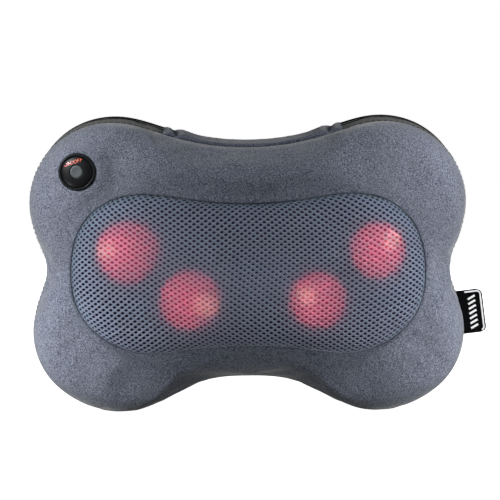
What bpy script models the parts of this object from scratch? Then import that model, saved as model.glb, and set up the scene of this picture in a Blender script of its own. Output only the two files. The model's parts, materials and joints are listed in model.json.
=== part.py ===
"""Shiatsu neck massager: a pillow with two counter-rotating massage heads under an air-mesh window.

Metres, +Z up. The pillow stands on its two lower lobes with the massage side facing -Y.
The origin is the middle of the flat back panel, on the mid-line between the two head axes.
Depth means the distance in front of the back panel, so a point at depth d has y = -d.
"""

import math

import bmesh
import bpy
import numpy as np
from mathutils import Matrix, Vector

MM = 0.001
GAP = 0.3 * MM

# Driving dimensions of the pillow
SEAM_DEPTH = 56 * MM
SHOULDER_RISE = 22 * MM
SHOULDER_WIDTH = 26 * MM
CROWN_RISE = 5 * MM
DOME_RISE = 22.5 * MM
DOME_POWER = 7
COVER = 2.5 * MM
BACK = 3.0 * MM
MESH_THICK = 1.6 * MM
LINING_THICK = 0.8 * MM

# Driving dimensions of the mechanism
HEAD_X = 72 * MM
ORBIT_LARGE = 30 * MM
ORBIT_SMALL = 30 * MM
LARGE_BALL = 22 * MM
SMALL_BALL = 20 * MM
BALL_DEPTH = 74 * MM
BALL_WALL = 2 * MM
HEAD_TILT = math.radians(38)
SHAFT_R = 4 * MM
MODULE = 1.5 * MM
WHEEL_TEETH = 32
WHEEL_WIDTH = 8 * MM
WORM_PITCH_R = 6.5 * MM
WHEEL_PITCH_R = MODULE * WHEEL_TEETH / 2
ROTOR_Z = WHEEL_PITCH_R + WORM_PITCH_R
ROTOR_DEPTH = 25.5 * MM
ROTOR_SHAFT_R = 1.6 * MM
LEAD = math.pi * MODULE
ADDENDUM = 1.3 * MM
DEDENDUM = 1.8 * MM
SLACK = 0.25 * MM
PRESSURE_SLOPE = math.tan(math.radians(20))
WORM_BORE = ROTOR_SHAFT_R + GAP
MOTOR_R = 14 * MM
MOTOR_HALF = 19 * MM

# Driving dimensions of the housing
HOUSE_HALF = (128 * MM, 57 * MM)
CAVITY_HALF = (129.5 * MM, 58.5 * MM)
HOUSE_WALL = 2.5 * MM
HOUSE_BACK = 7 * MM
HOUSE_SPLIT = 34 * MM
HOUSE_FRONT = 43.5 * MM

# Right halves of the two outlines, from the top of the mid-line to the bottom: (x, z) in mm
PILLOW_POINTS = [(0, 91.8), (36, 95), (62, 101.5), (97, 110.7), (130, 105), (153, 86), (165, 55), (161, 26),
                 (153.5, 0), (160, -26), (163.5, -56), (151, -85), (127, -103), (96, -110.7), (57, -97),
                 (32, -86.5), (0, -83.5)]
WINDOW_POINTS = [(0, 51), (40, 54), (76, 58.5), (105, 53), (124, 36), (133, 4), (128, -28), (112, -48),
                 (80, -61), (40, -58), (0, -56)]

# The control sits on the pillow's upper left lobe, as seen from the front
CONTROL_X = -127.2 * MM
CONTROL_Z = 76.2 * MM
BUTTON_TRAVEL = 1.2 * MM

JACK_DEPTH = 25 * MM

# The zip runs along X in the lower back panel, in mm
ZIP_HALF = 95
ZIP_Z = -38

AROUND = 48
HOUSE_AROUND = 36
FORWARD = Matrix.Rotation(math.radians(90), 4, "X")
SIDEWAYS = Matrix.Rotation(math.radians(90), 4, "Y")


# ---------------------------------------------------------------- outlines and surfaces

def smooth_loop(right_half, samples=720):
    """A periodic cubic curve through the half outline and its mirror image, as (x, z) points."""
    half = np.array(right_half, float) * MM
    points = np.vstack([half, (half * (-1, 1))[-2:0:-1]])
    steps = np.linalg.norm(np.roll(points, -1, 0) - points, axis=1)
    count = len(points)
    system = np.zeros((count, count))
    target = np.zeros((count, 2))
    for i in range(count):
        before, after = steps[i - 1], steps[i]
        system[i, i - 1] = after
        system[i, i] = 2 * (before + after)
        system[i, (i + 1) % count] = before
        target[i] = 3 * (after * (points[i] - points[i - 1]) / before
                         + before * (points[(i + 1) % count] - points[i]) / after)
    slopes = np.linalg.solve(system, target)
    made = []
    for i in range(count):
        after = (i + 1) % count
        for t in np.linspace(0, 1, samples // count, endpoint=False):
            made.append((2 * t**3 - 3 * t**2 + 1) * points[i] + (t**3 - 2 * t**2 + t) * steps[i] * slopes[i]
                        + (3 * t**2 - 2 * t**3) * points[after] + (t**3 - t**2) * steps[i] * slopes[after])
    return np.array(made)


def polar(loop):
    """A function giving the loop's radius at an angle, for a loop that its centre sees all of."""
    angles = np.arctan2(loop[:, 1], loop[:, 0])
    order = np.argsort(angles)
    angles, radii = angles[order], np.linalg.norm(loop, axis=1)[order]
    return lambda angle: np.interp(angle, angles, radii, period=2 * math.pi)


pillow_radius = polar(smooth_loop(PILLOW_POINTS))
window_radius = polar(smooth_loop(WINDOW_POINTS))


def rounded_radius(half, power=4):
    """A function giving the radius of a rectangle with round corners, as a superellipse."""
    a, b = half
    return lambda angle: (abs(math.cos(angle) / a) ** power + abs(math.sin(angle) / b) ** power) ** (-1 / power)


house_radius = rounded_radius(HOUSE_HALF)
cavity_radius = rounded_radius(CAVITY_HALF)


def cover_depth(radius, edge, lower=0.0):
    """Depth of the plush surface at a radius, where the outline is at edge. lower sinks the whole shoulder."""
    share = min(max((edge - radius) / SHOULDER_WIDTH, 0.0), 1.0)
    rise = (SHOULDER_RISE - lower) * math.sqrt(1 - (1 - share) ** 2)
    return SEAM_DEPTH + rise + CROWN_RISE * share * (1 - (radius / edge) ** 2)


def dome_depth(radius, angle, under=0.0):
    """Depth of the domed window's surface, which swells out of the plush, or of one lying under it."""
    share = min(radius / (window_radius(angle) - GAP - under), 1.0)
    return cover_depth(radius, pillow_radius(angle)) - under + DOME_RISE * math.sqrt(1 - share**DOME_POWER)


def angles_of(count):
    return [2 * math.pi * k / count for k in range(count)]


def ring(radius_of, depth_of, count=AROUND):
    """Points round the Y axis. radius_of takes an angle, and depth_of a radius and an angle."""
    made = []
    for angle in angles_of(count):
        radius = radius_of(angle)
        made.append(Vector((radius * math.cos(angle), -depth_of(radius, angle), radius * math.sin(angle))))
    return made


# ---------------------------------------------------------------- mesh tools

def new_object(name, verts, faces, material, matrix=None, parent=None):
    """An object from faces that may point any way: its normals are made consistent and outward."""
    mesh = bpy.data.meshes.new(name)
    work = bmesh.new()
    made = [work.verts.new(v) for v in verts]
    for face in faces:
        work.faces.new([made[i] for i in face])
    bmesh.ops.recalc_face_normals(work, faces=work.faces)
    work.to_mesh(mesh)
    work.free()
    obj = bpy.data.objects.new(name, mesh)
    bpy.context.scene.collection.objects.link(obj)
    if material:
        mesh.materials.append(material)
    if parent:
        obj.parent = parent
    if matrix:
        obj.matrix_local = matrix
    mesh.shade_smooth()
    mesh.set_sharp_from_angle(angle=math.radians(35))
    return obj


def skin(name, rings, material, loop=False, matrix=None, parent=None):
    """A solid through equal rings of points: closed into a tube wall by loop, or else capped at both ends."""
    count = len(rings[0])
    verts = [point for one in rings for point in one]
    faces = []
    spans = len(rings) if loop else len(rings) - 1
    for i in range(spans):
        low, high = i * count, (i + 1) % len(rings) * count
        for k in range(count):
            after = (k + 1) % count
            faces.append((low + k, low + after, high + after, high + k))
    if not loop:
        faces.append(tuple(range(count)))
        faces.append(tuple(range((len(rings) - 1) * count, len(rings) * count)))
    return new_object(name, verts, faces, material, matrix, parent)


def turned(name, profile, material, matrix=None, parent=None, segments=24, loop=False):
    """A solid of revolution about local Z, from (radius, height) points in mm."""
    rings = []
    for radius, height in profile:
        rings.append([Vector((radius * MM * math.cos(a), radius * MM * math.sin(a), height * MM))
                      for a in angles_of(segments)])
    return skin(name, rings, material, loop, matrix, parent)


def tube(name, outer, inner, low, high, material, matrix=None, parent=None, segments=24):
    """A plain bush: outer and inner radius and both ends, in mm."""
    profile = [(inner, low), (outer, low), (outer, high), (inner, high)]
    return turned(name, profile, material, matrix, parent, segments, loop=True)


def prism(name, outline, low, high, material, matrix=None, parent=None):
    """An outline of (x, y) points in mm, drawn out along local Z."""
    rings = [[Vector((x * MM, y * MM, h * MM)) for x, y in outline] for h in (low, high)]
    return skin(name, rings, material, False, matrix, parent)


def box(name, lows, highs, material, matrix=None, parent=None):
    (x0, y0, z0), (x1, y1, z1) = lows, highs
    return prism(name, [(x0, y0), (x1, y0), (x1, y1), (x0, y1)], z0, z1, material, matrix, parent)


def stadium(start, end, radius, steps=8):
    """A bar with round ends from start to end, as (x, y) points in mm."""
    heading = math.atan2(end[1] - start[1], end[0] - start[0])
    made = []
    for centre, turn in ((end, -math.pi / 2), (start, math.pi / 2)):
        for k in range(steps + 1):
            a = heading + turn + math.pi * k / steps
            made.append((centre[0] + radius * math.cos(a), centre[1] + radius * math.sin(a)))
    return made


def combine(base, others, operation):
    """Joins or cuts base with the other objects, which are used up."""
    for other in others:
        step = base.modifiers.new(operation, "BOOLEAN")
        step.operation = operation
        step.object = other
    bpy.context.view_layer.update()
    graph = bpy.context.evaluated_depsgraph_get()
    mesh = bpy.data.meshes.new_from_object(base.evaluated_get(graph))
    base.modifiers.clear()
    base.data = mesh
    for other in others:
        bpy.data.objects.remove(other)
    mesh.shade_smooth()
    mesh.set_sharp_from_angle(angle=math.radians(35))
    return base


def material(name, colour, roughness, metallic=0.0, glow=None):
    made = bpy.data.materials.new(name)
    made.use_nodes = True
    shader = made.node_tree.nodes["Principled BSDF"]
    shader.inputs["Base Color"].default_value = (*colour, 1)
    shader.inputs["Roughness"].default_value = roughness
    shader.inputs["Metallic"].default_value = metallic
    if glow:
        shader.inputs["Emission Color"].default_value = (*glow, 1)
        shader.inputs["Emission Strength"].default_value = 1
    return made


def pivot(name, matrix):
    """An empty on a joint's axis, for the pieces that turn or slide together."""
    empty = bpy.data.objects.new(name, None)
    bpy.context.scene.collection.objects.link(empty)
    empty.matrix_world = matrix
    return empty


# ---------------------------------------------------------------- fabric cover and padding

def build_front_cover(plush):
    """Plush panel from the front seam to the window, with the control's hole in the upper left lobe."""
    shares = [math.sin(math.pi / 2 * k / 5) for k in range(6)]
    rings = []
    for under, order in ((0, shares), (COVER, shares[::-1])):
        for share in order:

            def radius(angle, under=under, share=share):
                window = window_radius(angle)
                return window + (pillow_radius(angle) - under - window) * share

            rings.append(ring(radius, lambda r, a, u=under: cover_depth(r, pillow_radius(a) - u, u)))
    cover = skin("front_cover", rings, plush, loop=True)
    hole = turned("control_hole", [(11.5, -40), (11.5, 20)], None, CONTROL)
    return combine(cover, [hole], "DIFFERENCE")


def build_window(name, cloth, top, thickness):
    """One domed sheet filling the window: the air mesh, or the lining that lies under it."""
    shares = [0.35, 0.65, 0.85, 0.95, 0.99, 1.0]
    rings = []
    for under, order in ((top, shares), (top + thickness, shares[::-1])):
        for share in order:
            rings.append(ring(lambda a, u=under, s=share: (window_radius(a) - GAP - u) * s,
                              lambda r, a, u=under: dome_depth(r, a, u)))
    return skin(name, rings, cloth)


def build_gusset(cloth):
    """The band between the front seam and the back panel, with the power inlet's hole underneath."""
    low, high = BACK + GAP, SEAM_DEPTH - GAP
    rings = [ring(lambda a, t=inset: pillow_radius(a) - t, lambda r, a, d=depth: d)
             for inset, depth in ((0, low), (0, high), (COVER, high), (COVER, low))]
    gusset = skin("side_gusset", rings, cloth, loop=True)
    hole = turned("inlet_hole", [(6.3, -100), (6.3, -70)], None, JACK)
    return combine(gusset, [hole], "DIFFERENCE")


def build_back_panel(cloth):
    """Flat board-backed panel with a softened edge and a slot for the zip."""
    rings = [ring(lambda a, t=inset: pillow_radius(a) - t, lambda r, a, d=depth: d)
             for inset, depth in ((1.5 * MM, 0), (0, 1.2 * MM), (0, BACK))]
    panel = skin("back_panel", rings, cloth)
    slot = box("zip_slot", (-ZIP_HALF - 2.3, ZIP_Z - 3.5, -9), (ZIP_HALF + 2.3, ZIP_Z + 3.5, 9), None, FORWARD)
    return combine(panel, [slot], "DIFFERENCE")


def build_foam(foam):
    """The foam that gives the lobes their shape, round an open well for the mechanism."""
    reach = COVER + GAP
    front = [1.0, 0.86, 0.62, 0.3, 0.0]
    rings = [ring(lambda a: pillow_radius(a) - reach, lambda r, a: BACK + GAP)]
    for k in front:

        def radius(angle, k=k):
            well = cavity_radius(angle)
            return well + (pillow_radius(angle) - reach - well) * k

        rings.append(ring(radius, lambda r, a: cover_depth(r, pillow_radius(a) - reach, 4 * MM) - 1.2 * MM))
    rings.append(ring(cavity_radius, lambda r, a: BACK + GAP))
    block = skin("foam_surround", rings, foam, loop=True)
    cup_well = turned("cup_well", [(13.5, -30), (13.5, 20)], None, CONTROL)
    inlet_way = turned("inlet_way", [(8.5, -100), (8.5, -50)], None, JACK)
    return combine(block, [cup_well, inlet_way], "DIFFERENCE")


def build_back_foam(foam):
    """A thin foam sheet between the mechanism's housing and the back panel."""
    rings = [ring(lambda a: cavity_radius(a) - GAP, lambda r, a, d=depth: d)
             for depth in (BACK + GAP, HOUSE_BACK - GAP)]
    sheet = skin("back_foam", rings, foam)
    wells = [turned("head_well", [(4.5, 2), (4.5, 8)], None, Matrix.Translation(at) @ FORWARD, segments=12)
             for at in SCREW_PLACES]
    return combine(sheet, wells, "DIFFERENCE")


def build_handle(plush):
    """Plush carry strap lying along the top waist, sewn into the seams at both ends."""
    half, stations = 64 * MM, 26
    front, back = 47 * MM, 12 * MM
    loop = smooth_loop(PILLOW_POINTS)
    top = loop[(loop[:, 1] > 0) & (abs(loop[:, 0]) <= 1.3 * half)]
    top = top[np.argsort(top[:, 0])]
    rings = []
    for k in range(stations + 1):
        x = -half + 2 * half * k / stations
        z = float(np.interp(x, top[:, 0], top[:, 1]))
        rise = float(np.interp(x + 0.5 * MM, top[:, 0], top[:, 1])) - float(np.interp(x - 0.5 * MM, top[:, 0], top[:, 1]))
        out = Vector((-rise, 0, 1 * MM)).normalized()
        edge = min(k, stations - k) / 2
        thick = (1.4 + 1.4 * min(edge, 1)) * MM
        foot = Vector((x, 0, z)) + out * 0.4 * MM
        crown = foot + out * thick
        rings.append([foot + Vector((0, -back, 0)), foot + Vector((0, -front, 0)),
                      crown + Vector((0, -front + 1.5 * MM, 0)), crown + Vector((0, -back - 1.5 * MM, 0))])
    return skin("carry_handle", rings, plush)


def build_label(cloth):
    """A blank folded label that stands out of the right seam."""
    rows, reach, low, high = 8, 17 * MM, -50 * MM, -17 * MM
    loop = smooth_loop(PILLOW_POINTS)
    side = loop[(loop[:, 0] > 0) & (abs(loop[:, 1]) < 80 * MM)]
    side = side[np.argsort(side[:, 1])]
    front, back = SEAM_DEPTH - 0.6 * MM, SEAM_DEPTH - 1.8 * MM
    rings = []
    for k in range(rows + 1):
        z = low + (high - low) * k / rows
        edge = float(np.interp(z, side[:, 1], side[:, 0])) + 0.5 * MM
        outer = 163 * MM + reach - 0.08 * (z - low)
        rings.append([Vector((edge, -front, z)), Vector((outer, -front, z)),
                      Vector((outer, -back, z)), Vector((edge, -back, z))])
    return skin("side_label", rings, cloth)


# ---------------------------------------------------------------- zip

def build_zip(tape, metal):
    """A closed zip let into the back panel, its slider parked at the left end and its pull lying flat."""
    chain = box("zip_chain", (-ZIP_HALF - 2, ZIP_Z - 3.2, 0), (ZIP_HALF + 2, ZIP_Z + 3.2, 2.7), tape, FORWARD)
    parked = Matrix.Translation((-(ZIP_HALF - 6) * MM, 0, ZIP_Z * MM))
    slider = pivot("zip_slider_pivot", parked)
    plate = prism("zip_slider", stadium((-3, 0), (3, 0), 4), 0.3, 1.2, metal, ZIP_OUT, slider)
    bridge = box("bridge", (-3.2, -0.7, 0.9), (3.2, 0.7, 3.2), None, parked @ ZIP_OUT)
    opening = box("opening", (-2.2, -2, 1.2), (2.2, 2, 2.5), None, parked @ ZIP_OUT)
    combine(plate, [combine(bridge, [opening], "DIFFERENCE")], "UNION")
    hinge = pivot("zip_pull_pivot", parked @ Matrix.Translation((0, 1.85 * MM, 0)))
    pull = prism("zip_pull", stadium((2.9, 0), (20, 0), 3.35), -0.35, 0.35, metal, ZIP_OUT, hinge)
    eye = box("pull_eye", (0.45, -1.7, -2), (6.5, 1.7, 2), None, hinge.matrix_world @ ZIP_OUT)
    combine(pull, [eye], "DIFFERENCE")
    return [chain, plate, pull]


# ---------------------------------------------------------------- housing and mechanism

def at(x, z):
    return Matrix.Translation((x, 0, z)) @ FORWARD


def house_rings(stations):
    """The housing's outline at each (inset, depth)."""
    return [ring(lambda a, t=inset: house_radius(a) - t, lambda r, a, d=depth: d, HOUSE_AROUND)
            for inset, depth in stations]


def build_rear_housing(plastic):
    """Tray with a seat for each rear bush, a cradle for the motor and holes for four screws."""
    rings = house_rings([(0, HOUSE_BACK), (0, HOUSE_SPLIT), (HOUSE_WALL, HOUSE_SPLIT),
                         (HOUSE_WALL, HOUSE_BACK + HOUSE_WALL)])
    tray = skin("rear_housing", rings, plastic)
    seats = [turned("seat", [(9, 8.5), (9, 16)], None, at(x, 0)) for x in (-HEAD_X, HEAD_X)]
    ribs = [box("rib", (x - 3, ROTOR_Z / MM - 21.5, 8.5), (x + 3, ROTOR_Z / MM + 21.5, 25.2), None, FORWARD)
            for x in (-12, 12)]
    combine(tray, seats + ribs, "UNION")
    bores = [turned("bore", [(6.3, 9.5), (6.3, 20)], None, at(x, 0)) for x in (-HEAD_X, HEAD_X)]
    cradle = turned("cradle", [(14.4, -30), (14.4, 30)], None, ROTOR, segments=32)
    holes = [turned("hole", [(1.7, 4), (1.7, 12)], None, Matrix.Translation(p) @ FORWARD, segments=12)
             for p in SCREW_PLACES]
    strap_holes = [turned("strap_hole", [(1.5, 15), (1.5, 30)], None, at(-12 * MM, z), segments=12)
                   for z in STRAP_SCREWS]
    return combine(tray, [*bores, cradle, *holes, *strap_holes], "DIFFERENCE")


def build_front_housing(plastic):
    """Lid with a boss for each front bush and four posts that take the housing screws."""
    rings = house_rings([(HOUSE_WALL, HOUSE_FRONT - HOUSE_WALL), (HOUSE_WALL, HOUSE_SPLIT + GAP),
                         (0, HOUSE_SPLIT + GAP), (0, HOUSE_FRONT)])
    lid = skin("front_housing", rings, plastic)
    bosses = [turned("boss", [(9.5, 36), (9.5, 42)], None, at(x, 0)) for x in (-HEAD_X, HEAD_X)]
    posts = [turned("post", [(4, 9.8), (4, 42)], None, Matrix.Translation(p) @ FORWARD, segments=16)
             for p in SCREW_PLACES]
    combine(lid, bosses + posts, "UNION")
    bores = [turned("bore", [(6.3, 30), (6.3, 50)], None, at(x, 0)) for x in (-HEAD_X, HEAD_X)]
    pilots = [turned("pilot", [(1.6, 5), (1.6, 19)], None, Matrix.Translation(p) @ FORWARD, segments=12)
              for p in SCREW_PLACES]
    return combine(lid, bores + pilots, "DIFFERENCE")


SCREW_PLACES = [Vector((x * MM, 0, z * MM)) for x in (-110, 110) for z in (-38, 38)]
STRAP_SCREWS = [ROTOR_Z - 18.4 * MM, ROTOR_Z + 18.4 * MM]


def build_screws(steel):
    """Four housing screws driven in from the back, and two that hold the motor strap."""
    made = []
    names = ["housing_screw_lower_left", "housing_screw_upper_left",
             "housing_screw_lower_right", "housing_screw_upper_right"]
    for name, place in zip(names, SCREW_PLACES):
        profile = [(3, 4.6), (3, 6.7), (1.3, 6.7), (1.3, 18)]
        made.append(turned(name, profile, steel, Matrix.Translation(place) @ FORWARD, segments=12))
    for name, z in zip(["strap_screw_lower", "strap_screw_upper"], STRAP_SCREWS):
        profile = [(1.1, 17), (1.1, 27.2), (2.4, 27.2), (2.4, 29)]
        made.append(turned(name, profile, steel, at(-12 * MM, z), segments=12))
    return made


def build_motor(steel, plastic, copper):
    """Flat-ended motor can, its end cap, the strap that clamps it and the armature inside."""
    can = turned("motor_can", [(3, -19), (14, -19), (14, 14.7), (13.1, 14.7), (13.1, -17.8), (3, -17.8)],
                 steel, ROTOR, segments=32, loop=True)
    cap = tube("motor_end_cap", 14, 3, 15, 19, plastic, ROTOR, segments=32)
    steps = 12
    centre, low, high = ROTOR_Z / MM, ROTOR_DEPTH / MM, 26.9
    outline = []
    for radius, turns in ((14.3, range(steps + 1)), (15.3, range(steps, -1, -1))):
        arch = [(centre + radius * math.cos(math.pi * k / steps), low + radius * math.sin(math.pi * k / steps))
                for k in turns]
        outline.append(arch)
    inner, outer = outline
    foot = 21.2
    path = [(centre + foot, low)] + inner + [(centre - foot, low), (centre - foot, high)]
    path += [(centre - 15.3, high)] + outer[1:-1] + [(centre + 15.3, high), (centre + foot, high)]
    upright = Matrix(((0, 0, 1, 0), (0, -1, 0, 0), (1, 0, 0, 0), (0, 0, 0, 1)))
    strap = prism("motor_strap", path, -15, -9, steel, upright)
    holes = [turned("strap_hole", [(1.5, 20), (1.5, 35)], None, at(-12 * MM, z), segments=12) for z in STRAP_SCREWS]
    combine(strap, holes, "DIFFERENCE")
    rotor = bpy.data.objects["rotor_pivot"]
    armature = turned("armature", [(1.9, -11), (11, -11), (11, 9), (4.5, 9), (4.5, 13), (1.9, 13)], copper,
                      None, rotor, segments=20, loop=True)
    return [can, cap, strap, armature]


def build_worm(name, centre, hand, brass, parent):
    """A single-start worm. Its thread's crest faces the worm wheel at the worm's middle."""
    steps, turns = 12, 3
    root, crest = WORM_PITCH_R - DEDENDUM, WORM_PITCH_R + ADDENDUM
    half = (LEAD / 2 - SLACK) / 2

    def radius(row, column):
        away = abs((row - hand * column + steps / 2) % steps - steps / 2) * LEAD / steps
        return min(max(WORM_PITCH_R + (half - away) / PRESSURE_SLOPE, root), crest)

    rows = range(-turns * steps // 2, turns * steps // 2 + 1)
    verts, faces = [], []
    for row in rows:
        for column in range(steps):
            worn = WORM_BORE + 1.2 * MM if row in (rows[0], rows[-1]) else radius(row, column)
            angle = 2 * math.pi * column / steps
            height = centre + LEAD * row / steps
            verts.append(Vector((worn * math.cos(angle), worn * math.sin(angle), height)))
    for i in range(len(rows) - 1):
        for k in range(steps):
            after = (k + 1) % steps
            a, b = i * steps + k, i * steps + after
            c, d = (i + 1) * steps + after, (i + 1) * steps + k
            faces += [(a, b, c), (a, c, d)] if hand > 0 else [(a, b, d), (b, c, d)]
    last = (len(rows) - 1) * steps
    faces += [tuple(range(steps)), tuple(range(last, last + steps))]
    worm = new_object(name, verts, faces, brass, None, parent)
    ends = [(WORM_BORE / MM, centre / MM + reach) for reach in (-15, 15)]
    bore = turned("worm_bore", ends, None, ROTOR, segments=12)
    return combine(worm, [bore], "DIFFERENCE")


def build_rotor(steel, brass):
    """Double-ended motor shaft with a right-hand worm at one end and a left-hand worm at the other."""
    rotor = bpy.data.objects["rotor_pivot"]
    shaft = turned("rotor_shaft", [(1.6, -93), (1.6, 93)], steel, None, rotor, segments=12)
    left = build_worm("left_worm", -HEAD_X, 1, brass, rotor)
    right = build_worm("right_worm", HEAD_X, -1, brass, rotor)
    return [shaft, left, right]


def build_worm_bearings(plastic):
    made = []
    for name, x in (("left_worm_bearing", -89), ("right_worm_bearing", 89)):
        block = box(name, (x - 3, ROTOR_Z / MM - 6, 9.8), (x + 3, ROTOR_Z / MM + 6, 32), plastic, FORWARD)
        bore = turned("bearing_bore", [(1.75, x - 10), (1.75, x + 10)], None, ROTOR, segments=24)
        made.append(combine(block, [bore], "DIFFERENCE"))
    return made


def wheel_outline(twist):
    """One end of the worm wheel: four points a tooth, turned by the helix's twist."""
    root, tip = WHEEL_PITCH_R - DEDENDUM, WHEEL_PITCH_R + ADDENDUM
    tooth = LEAD / 2 - SLACK
    made = []
    for k in range(WHEEL_TEETH):
        middle = math.pi / 2 + 2 * math.pi * (k + 0.5) / WHEEL_TEETH + twist
        for side, radius in ((-1, root), (-1, tip), (1, tip), (1, root)):
            half = tooth / 2 - (radius - WHEEL_PITCH_R) * PRESSURE_SLOPE
            made.append((radius / MM, middle + side * half / WHEEL_PITCH_R))
    return [(r * math.cos(a), r * math.sin(a)) for r, a in made]


def build_head(side, parts):
    """One massage head: worm wheel, shaft, arm, two domed caps with lamps under them, and a cap screw."""
    sign = -1 if side == "left" else 1
    head = pivot(f"{side}_head_pivot", at(sign * HEAD_X, 0))
    turn = -sign * (WHEEL_WIDTH / 2) * (LEAD / (2 * math.pi * WORM_PITCH_R)) / WHEEL_PITCH_R
    middle = ROTOR_DEPTH / MM
    half = WHEEL_WIDTH / MM / 2
    ends = [[Vector((x * MM, y * MM, (middle + s * half) * MM)) for x, y in wheel_outline(s * turn)] for s in (-1, 1)]
    wheel = skin(f"{side}_worm_wheel", ends, parts["nylon"], parent=head)
    world = head.matrix_world
    combine(wheel, [turned("hub", [(8, middle - 7), (8, middle + 9)], None, world)], "UNION")
    combine(wheel, [turned("bore", [(4.3, 5), (4.3, 60)], None, world)], "DIFFERENCE")
    made = [wheel]
    shaft = [(3.2, 10), (4, 10.8), (4, 55.5), (3.4, 56.2)]
    made.append(turned(f"{side}_output_shaft", shaft, parts["steel"], None, head))

    direction = (sign * math.cos(HEAD_TILT), math.sin(HEAD_TILT))
    large = tuple(ORBIT_LARGE / MM * d for d in direction)
    small = tuple(-ORBIT_SMALL / MM * d for d in direction)
    arm = prism(f"{side}_arm", stadium(small, large, 8), 49.5, 54.5, parts["plastic"], None, head)
    extras = [turned("arm_hub", [(11, 46.8), (11, 57)], None, world)]
    for (x, y), radius in ((large, 17.1), (small, 15.1)):
        pod = world @ Matrix.Translation((x * MM, y * MM, 0))
        extras.append(turned("pod", [(8.5, 50), (8.5, 63), (radius, 64.4), (radius, 66)], None, pod, segments=20))
    combine(arm, extras, "UNION")
    combine(arm, [turned("bore", [(4.3, 40), (4.3, 70)], None, world)], "DIFFERENCE")
    made.append(arm)
    made.append(turned(f"{side}_cap_screw", [(3.6, 56.5), (3.6, 57.3), (6, 57.3), (6, 59.2), (4.6, 60)],
                       parts["steel"], None, head, segments=16))
    for size, (x, y), radius in (("large", large, LARGE_BALL / MM), ("small", small, SMALL_BALL / MM)):
        place = Matrix.Translation((x * MM, y * MM, 0))
        made.append(build_ball(f"{side}_{size}_cap", radius, parts["amber"], place, head))
        lamp = [(radius - 10, 66.3), (radius - 10, 67.9), (3, 67.9), (3, 71), (2.3, 72.6), (1, 73.4)]
        made.append(turned(f"{side}_{size}_lamp", lamp, parts["lamp"], place, head, segments=16))
    return made


def build_ball(name, radius, amber, place, head):
    """A hollow domed cap, open at the back where it clips over the arm's pod."""
    centre = BALL_DEPTH / MM
    wall = BALL_WALL / MM
    outer = [math.radians(d) for d in (-27, -6, 15, 36, 57, 78)]
    inner = [math.radians(d) for d in (78, 51, 24, -3, -29)]
    profile = [((radius - wall) * math.cos(a), centre + (radius - wall) * math.sin(a)) for a in inner]
    profile += [(radius * math.cos(a), centre + radius * math.sin(a)) for a in outer]
    return turned(name, profile, amber, place, head, segments=18)


def build_bushes(bronze):
    made = []
    for side, x in (("left", -HEAD_X), ("right", HEAD_X)):
        made.append(tube(f"{side}_rear_bush", 6, 4.3, 9.8, 15.8, bronze, at(x, 0)))
        front = [(4.3, 36.5), (6, 36.5), (6, 43.8), (8, 43.8), (8, 45.2), (4.3, 45.2)]
        made.append(turned(f"{side}_front_bush", front, bronze, at(x, 0), loop=True))
    return made


def build_boards(board):
    """The driver board on the housing's floor."""
    drive = box("drive_board", (-30, -50, 9.8), (30, -18, 11.4), board, FORWARD)
    parts = [box("coil", (-22, -44, 11), (-10, -32, 19), None, FORWARD),
             turned("capacitor", [(5, 11), (5, 22)], None, Matrix.Translation((8 * MM, 0, -38 * MM)) @ FORWARD,
                    segments=16),
             box("plug_header", (16, -30, 11), (27, -22, 18), None, FORWARD)]
    return combine(drive, parts, "UNION")


# ---------------------------------------------------------------- control and power inlet

def build_control(parts):
    """Round control on the upper left lobe: bezel, domed face, push button, cup, board, switch and plunger."""
    bezel = turned("control_bezel", [(11.2, -3), (11.2, -0.2), (14, 1.2), (14.2, 2.2), (13.4, 3.4), (12.2, 3.4),
                                     (12.2, 1.0), (10.2, 1.0), (10.2, -3)],
                   parts["black"], CONTROL, segments=24, loop=True)
    face = [(5.3, 1.3), (11.9, 1.3), (11.9, 2.6), (10, 3.8), (7.6, 4.5), (5.3, 4.8)]
    lens = turned("control_face", face, parts["gloss"], CONTROL, segments=24, loop=True)
    cup = turned("control_cup", [(10.9, -16), (10.9, -3.3), (9.2, -3.3), (9.2, -14.4)], parts["black"], CONTROL,
                 segments=24)
    board = turned("switch_board", [(8.8, -14.1), (8.8, -10.4)], parts["board"], CONTROL, segments=20)
    switch = turned("tact_switch", [(4.2, -10.1), (4.2, -6.6), (2.2, -6.6), (2.2, -9)], parts["black"], CONTROL,
                    segments=16)
    lamp = box("indicator_lamp", (5.4, -1.2, -10.1), (7.8, 1.2, -8.2), parts["lamp"], CONTROL)
    press = pivot("power_button_pivot", CONTROL)
    button = turned("power_button", [(5, -1.6), (6, -1.6), (6, -0.4), (5, -0.4), (5, 5.0), (4.2, 5.5), (1.5, 5.7)],
                    parts["grey"], None, press, segments=24)
    plunger = turned("switch_plunger", [(1.8, -7.4), (1.8, -1.9)], parts["grey"], None, press, segments=12)
    return [bezel, lens, cup, board, switch, lamp, button, plunger]


def build_jack(plastic, metal):
    """Barrel socket facing down from the bottom waist, with the ring that clamps it in the gusset."""
    socket = [(1.05, -81.5), (1.05, -74.5), (2.9, -74.5), (2.9, -86.7), (5.4, -86.7), (5.4, -65.5)]
    jack = turned("power_inlet", socket, plastic, JACK, segments=20)
    nut = turned("inlet_ring", [(5.7, -86.7), (9.6, -86.7), (10.4, -85.9), (10.4, -84.3), (5.7, -84.3)], metal, JACK,
                 segments=24, loop=True)
    return [jack, nut]


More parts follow.
